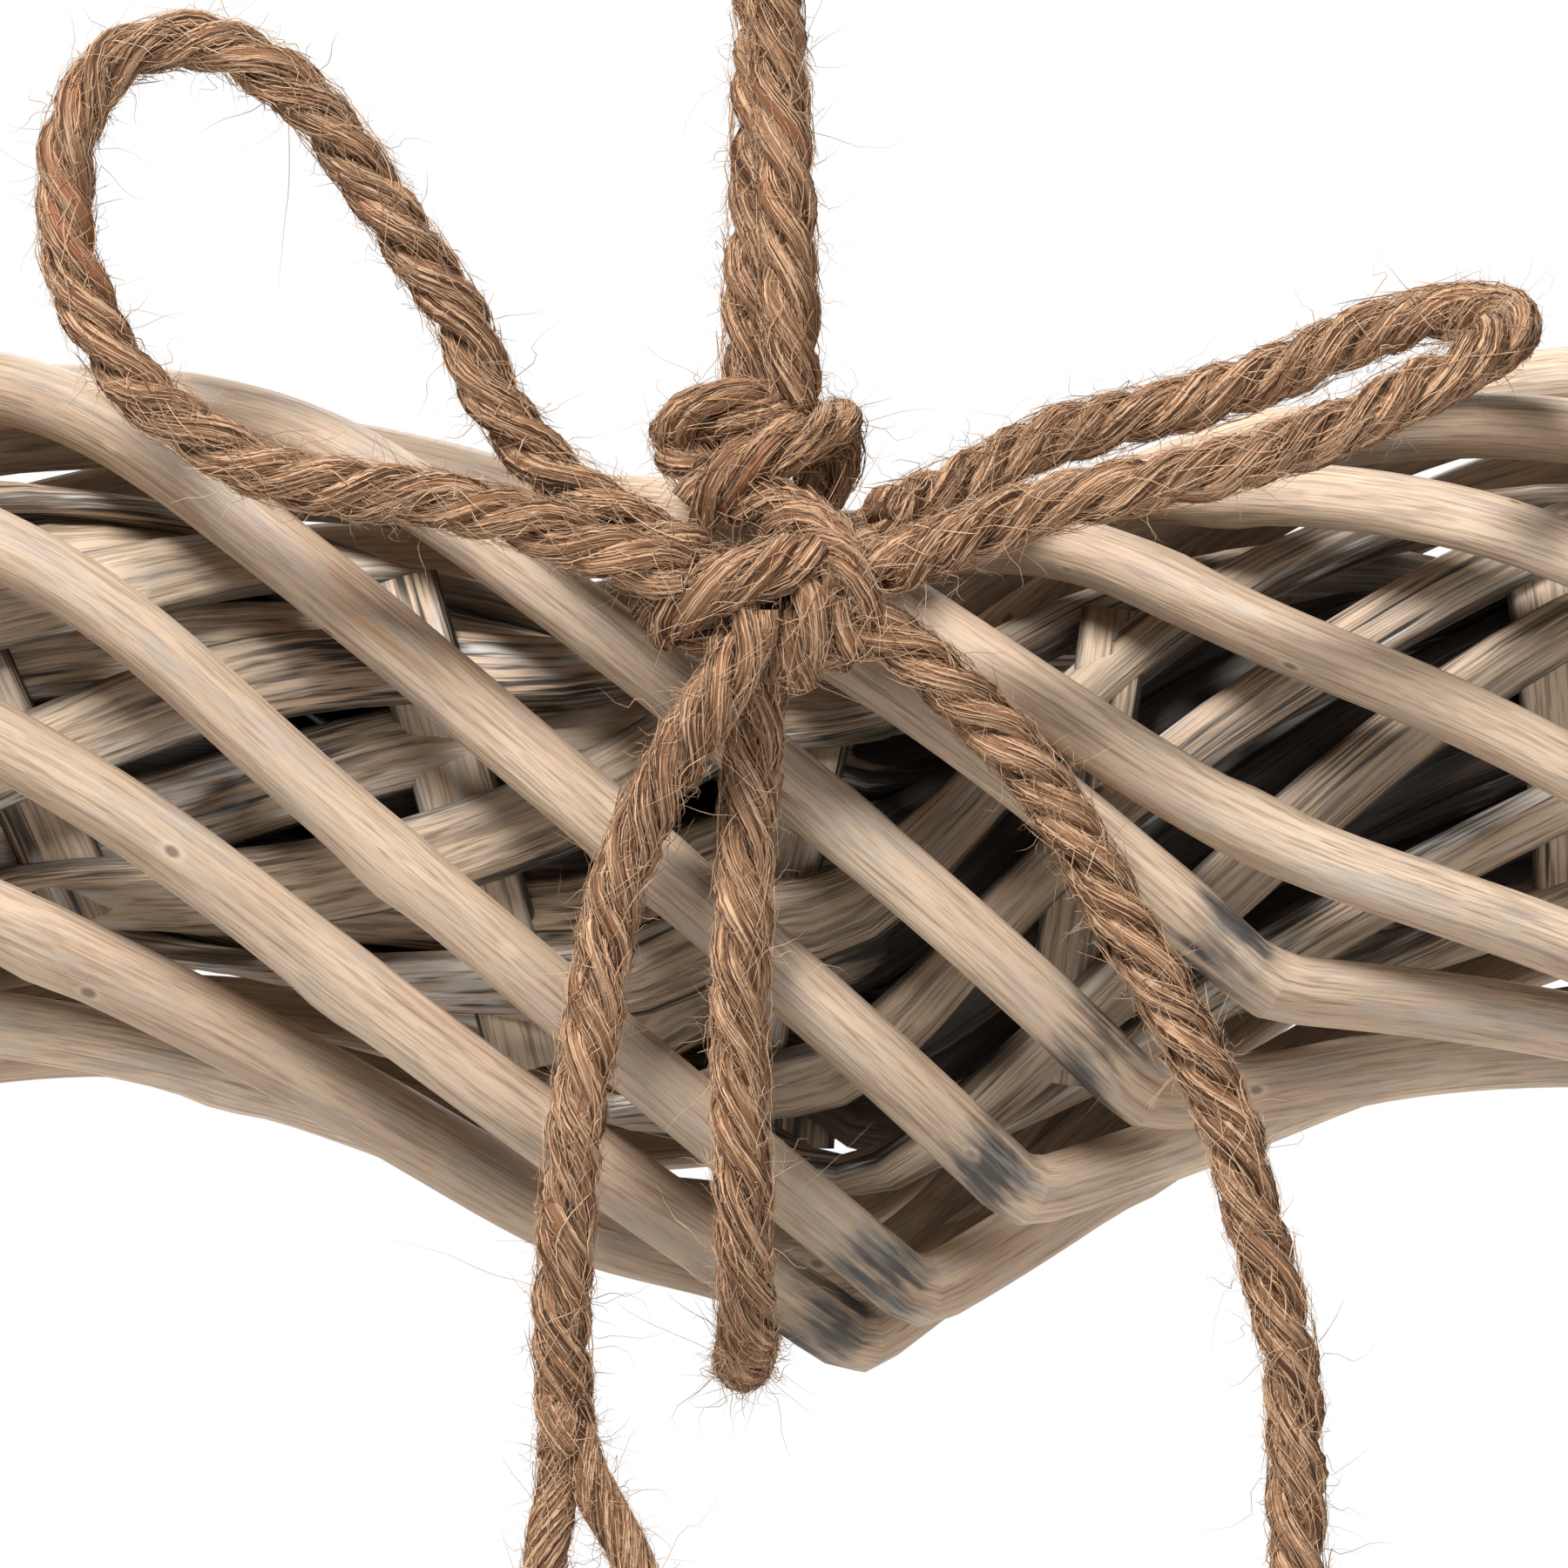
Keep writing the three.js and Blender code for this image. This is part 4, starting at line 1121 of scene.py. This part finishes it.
def weathered_willow_group(coordinates):
    """Peeled willow left out of doors: grain, greying, black streaks, limewash and bud scars, with
    painted shade along the edges of strips and on sunk strips.
    """
    number = "NodeSocketFloat"
    colour = "NodeSocketColor"
    tree, given, result = new_group("weathered_willow", [
        ("Radius", number, MEAN_ROD_RADIUS),
        ("Light", colour, WILLOW_LIGHT),
        ("Middle", colour, WILLOW_MIDDLE),
        ("Dark", colour, WILLOW_DARK),
        ("Grain", number, 0.6),
        ("Greying", number, 0.5),
        ("Blackening", number, 0.3),
        ("Whitewash", number, 0.2),
        ("Scars", number, 0.7),
        ("Edges", number, 0.0),
    ], [("Color", colour), ("Roughness", number), ("Height", number)])
    wrapped = put(tree, "ShaderNodeGroup", node_tree=coordinates)
    tree.links.new(given["Radius"], wrapped.inputs["Radius"])
    at = wrapped.outputs["Vector"]
    fine = noise(tree, at, FINE_GRAIN, 2.0, 0.6)
    coarse = noise(tree, at, COARSE_GRAIN, 2.0, 0.6)
    tone = noise(tree, at, TONE_PATCHES, 3.0, 0.6)
    patch = noise(tree, at, GREY_PATCHES, 3.0, 0.65)
    streak = noise(tree, at, BLACK_STREAKS, 2.0, 0.65)
    stain_and_shade = noise(tree, at, STAIN_PATCHES, 2.0, 0.6)
    lime = noise(tree, at, LIME_PATCHES, 3.0, 0.7)
    lit = blended(tree, ranged(tree, tone, 0.39, 0.61), given["Middle"], given["Light"])
    pinked = blended(tree, ranged(tree, stain_and_shade, 0.45, 0.70, 0.0, 0.35), lit, PINK_STAIN)
    rusted = blended(tree, ranged(tree, stain_and_shade, 0.66, 0.76, 0.0, 0.6), pinked, RUST_STAIN)
    lines = maths(tree, "ADD", ranged(tree, fine, 0.47, 0.62, 0.0, 0.6),
                  ranged(tree, coarse, 0.46, 0.68, 0.0, 0.45))
    grained = blended(tree, maths(tree, "MULTIPLY", lines, given["Grain"]), rusted, given["Dark"])
    grey = maths(tree, "MULTIPLY", ranged(tree, patch, 0.50, 0.68), given["Greying"])
    greyed = blended(tree, grey, grained, WEATHERED_GREY)
    # The attribute read here marks the rods' kink stains and, on the sunk between strips, painted
    # shade
    kink = put(tree, "ShaderNodeAttribute", attribute_name="stain_and_shade").outputs["Fac"]
    uneven = maths(tree, "ADD", patch, maths(tree, "MULTIPLY", streak, 0.5))
    kink = maths(tree, "MULTIPLY", kink, uneven)
    stained_and_shaded = blended(tree, ranged(tree, kink, 0.50, 0.86, 0.0, 0.95), greyed, STAIN_AND_SHADE_BLACK)
    # Painted shade: the edges of a strip, away from the middle of its faces, are darkened, broken up
    # by the stain pattern
    uv = put(tree, "ShaderNodeTexCoord").outputs["UV"]
    round_rod = put(tree, "ShaderNodeSeparateXYZ", {0: uv}).outputs[1]
    turn = maths(tree, "MULTIPLY", round_rod, 2 * math.pi)
    middle = maths(tree, "ABSOLUTE", maths(tree, "COSINE", turn))
    middle = maths(tree, "ADD", middle, maths(tree, "MULTIPLY", stain_and_shade, 0.8))
    edge = maths(tree, "MULTIPLY", ranged(tree, middle, 0.62, 1.05, 1.0, 0.0), given["Edges"])
    edge_shaded = blended(tree, edge, stained_and_shaded, PAINTED_EDGE_SHADE)
    streaks = maths(tree, "MULTIPLY", ranged(tree, streak, 0.45, 0.60),
                    ranged(tree, stain_and_shade, 0.44, 0.60))
    blacking = maths(tree, "MULTIPLY", streaks, given["Blackening"])
    blacked = blended(tree, blacking, edge_shaded, STREAK_BLACK)
    limed = maths(tree, "MULTIPLY", ranged(tree, lime, 0.53, 0.64), given["Whitewash"])
    limed = maths(tree, "MULTIPLY", limed, ranged(tree, fine, 0.35, 0.60))
    whitened = blended(tree, limed, blacked, LIMEWASH)
    spaced = stretched(tree, at, SCAR_CELLS)
    cells = put(tree, "ShaderNodeTexVoronoi", {"Vector": spaced, "Scale": 1.0})
    chosen = put(tree, "ShaderNodeSeparateColor", {0: cells.outputs["Color"]}).outputs[0]
    chosen = maths(tree, "MULTIPLY", ranged(tree, chosen, 0.60, 0.62), given["Scars"])
    from_scar = cells.outputs["Distance"]
    rim = maths(tree, "MULTIPLY", ranged(tree, from_scar, 0.11, 0.20, 0.4, 0.0), chosen)
    scar = maths(tree, "MULTIPLY", ranged(tree, from_scar, 0.05, 0.12, 0.9, 0.0), chosen)
    rimmed = blended(tree, rim, whitened, given["Light"])
    scarred = blended(tree, scar, rimmed, BUD_SCAR)
    tree.links.new(scarred, result["Color"])
    tree.links.new(ranged(tree, tone, 0.3, 0.7, 0.55, 0.72), result["Roughness"])
    rough = maths(tree, "ADD", maths(tree, "MULTIPLY", fine, 0.5),
                  maths(tree, "MULTIPLY", coarse, 0.8))
    tree.links.new(rough, result["Height"])
    return tree


def new_finish(name):
    material = bpy.data.materials.new(name)
    material.use_nodes = True
    tree = material.node_tree
    tree.nodes.clear()
    shader = put(tree, "ShaderNodeBsdfPrincipled")
    output = put(tree, "ShaderNodeOutputMaterial")
    tree.links.new(shader.outputs[0], output.inputs["Surface"])
    return material, tree, shader


def willow_finish(name, group, bump, values):
    material, tree, shader = new_finish(name)
    made = place_group(tree, group, values)
    tree.links.new(made["Color"], shader.inputs["Base Color"])
    tree.links.new(made["Roughness"], shader.inputs["Roughness"])
    relief = put(tree, "ShaderNodeBump", {
        "Strength": bump, "Distance": WILLOW_RELIEF, "Height": made["Height"]})
    tree.links.new(relief.outputs[0], shader.inputs["Normal"])
    shader.inputs["Specular IOR Level"].default_value = WILLOW_GLOSS
    return material


def jute_finish(coordinates):
    """Twisted jute: brown with pale and dark fibres and a few red ones; the dark ones are deepened to
    near-black as painted shade between fibre bundles.
    """
    material, tree, shader = new_finish("jute_rope")
    twist = FIBRE_TURN / (2 * math.pi)
    at = place_group(tree, coordinates, {"Radius": PLY_RADIUS, "Twist": twist})["Vector"]
    fibre = noise(tree, at, JUTE_FIBRES, 2.0, 0.6)
    bundle = noise(tree, at, JUTE_BUNDLES, 2.0, 0.6)
    tone = noise(tree, at, JUTE_TONES, 2.0, 0.5)
    red = noise(tree, at, JUTE_RED_PATCHES, 1.0, 0.5)
    base = blended(tree, ranged(tree, tone, 0.35, 0.68), JUTE_BROWN, JUTE_TAN)
    # Partly dark fibres, partly painted shade: a random bundle pattern turned near-black stands in
    # for the shadow between bundles
    dark = blended(tree, ranged(tree, bundle, 0.46, 0.58, 0.0, 0.9), base, JUTE_DARK_FIBRE_AND_SHADE)
    pale = blended(tree, ranged(tree, fibre, 0.50, 0.60, 0.0, 0.9), dark, JUTE_PALE)
    tinted = blended(tree, ranged(tree, red, 0.68, 0.76, 0.0, 0.6), pale, JUTE_RED)
    tree.links.new(tinted, shader.inputs["Base Color"])
    height = maths(tree, "ADD", fibre, bundle)
    relief = put(tree, "ShaderNodeBump", {
        "Strength": 1.0, "Distance": JUTE_RELIEF, "Height": height})
    tree.links.new(relief.outputs[0], shader.inputs["Normal"])
    shader.inputs["Roughness"].default_value = JUTE_ROUGHNESS
    shader.inputs["Specular IOR Level"].default_value = JUTE_GLOSS
    return material


def fuzz_finish():
    """Single jute fibres, each of its own shade, paler towards the tip."""
    material, tree, shader = new_finish("jute_fuzz")
    uv = put(tree, "ShaderNodeTexCoord").outputs["UV"]
    parts = put(tree, "ShaderNodeSeparateXYZ", {0: uv}).outputs
    shade = blended(tree, parts[0], FUZZ_DARK, FUZZ_PALE)
    reddish = blended(tree, ranged(tree, parts[0], 0.90, 0.97, 0.0, 0.7), shade, FUZZ_RED)
    tipped = blended(tree, ranged(tree, parts[1], 0.3, 1.0, 0.0, 0.35), reddish, FUZZ_TIP)
    tree.links.new(tipped, shader.inputs["Base Color"])
    shader.inputs["Roughness"].default_value = FUZZ_ROUGHNESS
    shader.inputs["Specular IOR Level"].default_value = FUZZ_GLOSS
    return material


# Studio

def area_light(name, place, aim, size, power):
    lamp = bpy.data.lights.new(name, "AREA")
    lamp.shape = "DISK"
    lamp.size = size
    lamp.energy = power
    holder = bpy.data.objects.new(name, lamp)
    bpy.context.scene.collection.objects.link(holder)
    holder.location = place
    direction = np.array(aim) - np.array(place)
    flat = math.hypot(direction[0], direction[1])
    tilt = math.atan2(flat, -direction[2])
    holder.rotation_euler = (tilt, 0, math.atan2(-direction[0], direction[1]))


def studio():
    scene = bpy.context.scene
    scene.view_settings.view_transform = "Standard"
    camera = bpy.data.cameras.new("photo_camera")
    camera.sensor_width = SENSOR_WIDTH
    camera.lens = SENSOR_WIDTH * VIEW_DISTANCE / VIEW_SIZE
    camera.clip_start = NEAREST_SEEN
    camera.clip_end = FURTHEST_SEEN
    holder = bpy.data.objects.new("photo_camera", camera)
    scene.collection.objects.link(holder)
    holder.location = (0, VIEW_FRONT - VIEW_DISTANCE, VIEW_HEIGHT)
    holder.rotation_euler = (math.pi / 2, 0, 0)
    scene.camera = holder

    world = bpy.data.worlds.new("white_studio")
    world.use_nodes = True
    scene.world = world
    tree = world.node_tree
    tree.nodes.clear()
    seen = put(tree, "ShaderNodeLightPath").outputs["Is Camera Ray"]
    strength = ranged(tree, seen, 0.0, 1.0, AMBIENT, 1.0)
    back = put(tree, "ShaderNodeBackground", {"Color": WHITE, "Strength": strength})
    out = put(tree, "ShaderNodeOutputWorld")
    tree.links.new(back.outputs[0], out.inputs["Surface"])

    for name, place, size, power in LIGHTS:
        area_light(name, place, LIGHTS_AIM, size, power)

    bm = bmesh.new()
    bmesh.ops.create_circle(bm, cap_ends=True, segments=FLOOR_SIDES, radius=FLOOR_RADIUS)
    mesh = bpy.data.meshes.new("studio_floor")
    bm.to_mesh(mesh)
    bm.free()
    floor = bpy.data.objects.new("studio_floor", mesh)
    floor.location = (0, 0, FLOOR_Z)
    scene.collection.objects.link(floor)
    material, tree, shader = new_finish("pale_floor")
    shader.inputs["Base Color"].default_value = FLOOR_COLOUR
    shader.inputs["Roughness"].default_value = FLOOR_ROUGHNESS
    shader.inputs["Emission Color"].default_value = WHITE
    seen = put(tree, "ShaderNodeLightPath").outputs["Is Camera Ray"]
    tree.links.new(maths(tree, "MULTIPLY", seen, FLOOR_GLOW), shader.inputs["Emission Strength"])
    mesh.materials.append(material)


# The ornament

def build_rope(materials):
    hanger_knot = knot("hanger_knot_turns", HANGER_KNOT_TURNS, 21, materials, "hanger_knot")
    bow_knot = knot("bow_knot_turns", BOW_KNOT_TURNS, 31, materials, "bow_knot")
    loose_plies = (loose_ply("left_tail_outer_ply", LEFT_TAIL_OUTER_PLY, 41, materials)
                   + loose_ply("left_tail_inner_ply", LEFT_TAIL_INNER_PLY, 43, materials))
    cords = [
        ("hanging_loop", HANGING_LOOP, 1, "knot", "taut", hanger_knot),
        ("bow_left_loop", BOW_LEFT_LOOP, 2, "knot", "loose", bow_knot),
        ("bow_right_loop", BOW_RIGHT_LOOP, 3, "knot", "loose", []),
        ("bow_left_tail", LEFT_TAIL, 4, "bare", "hanging", loose_plies),
        ("bow_right_tail", RIGHT_TAIL, 5, "bare", "hanging", []),
    ]
    for node, route, seed, far_end, lay, others in cords:
        piece, fuzz, spine, length = rope(node + "_rope", route, seed, materials, node)
    rope("band_wrap_rope", BAND_WRAP, 6, materials, "band_wrap")


def build():
    coordinates = round_coordinates_group()
    willow = weathered_willow_group(coordinates)
    rod_finish = willow_finish("willow_rod", willow, 0.45, {
        "Grain": 0.75, "Greying": 0.4, "Blackening": 0.12, "Whitewash": 0.2, "Scars": 0.8})
    # The strip finish paints shade along the strips' edges
    strip_finish = willow_finish("willow_strip", willow, 0.7, {
        "Light": STRIP_LIGHT, "Middle": STRIP_MIDDLE, "Dark": STRIP_DARK, "Grain": 0.7,
        "Greying": 0.35, "Blackening": 0.95, "Whitewash": 0.85, "Scars": 0.3, "Edges": 0.7})
    # Painted shade: a near-black finish for the strips deep inside the lining
    painted_shade_finish = willow_finish("painted_shade_strip", willow, 0.7, {
        "Light": CORE_PAINTED_SHADE_LIGHT, "Middle": CORE_PAINTED_SHADE_MIDDLE, "Dark": CORE_PAINTED_SHADE_DARK, "Grain": 0.9,
        "Greying": 0.0, "Blackening": 0.95, "Whitewash": 0.0, "Scars": 0.0})
    materials = {"jute": jute_finish(coordinates), "fuzz": fuzz_finish()}
    for number in range(ROD_COUNT):
        willow_rod(number, rod_finish)
    lining(strip_finish, painted_shade_finish)
    cross_strips(strip_finish)
    build_rope(materials)


studio()
build()
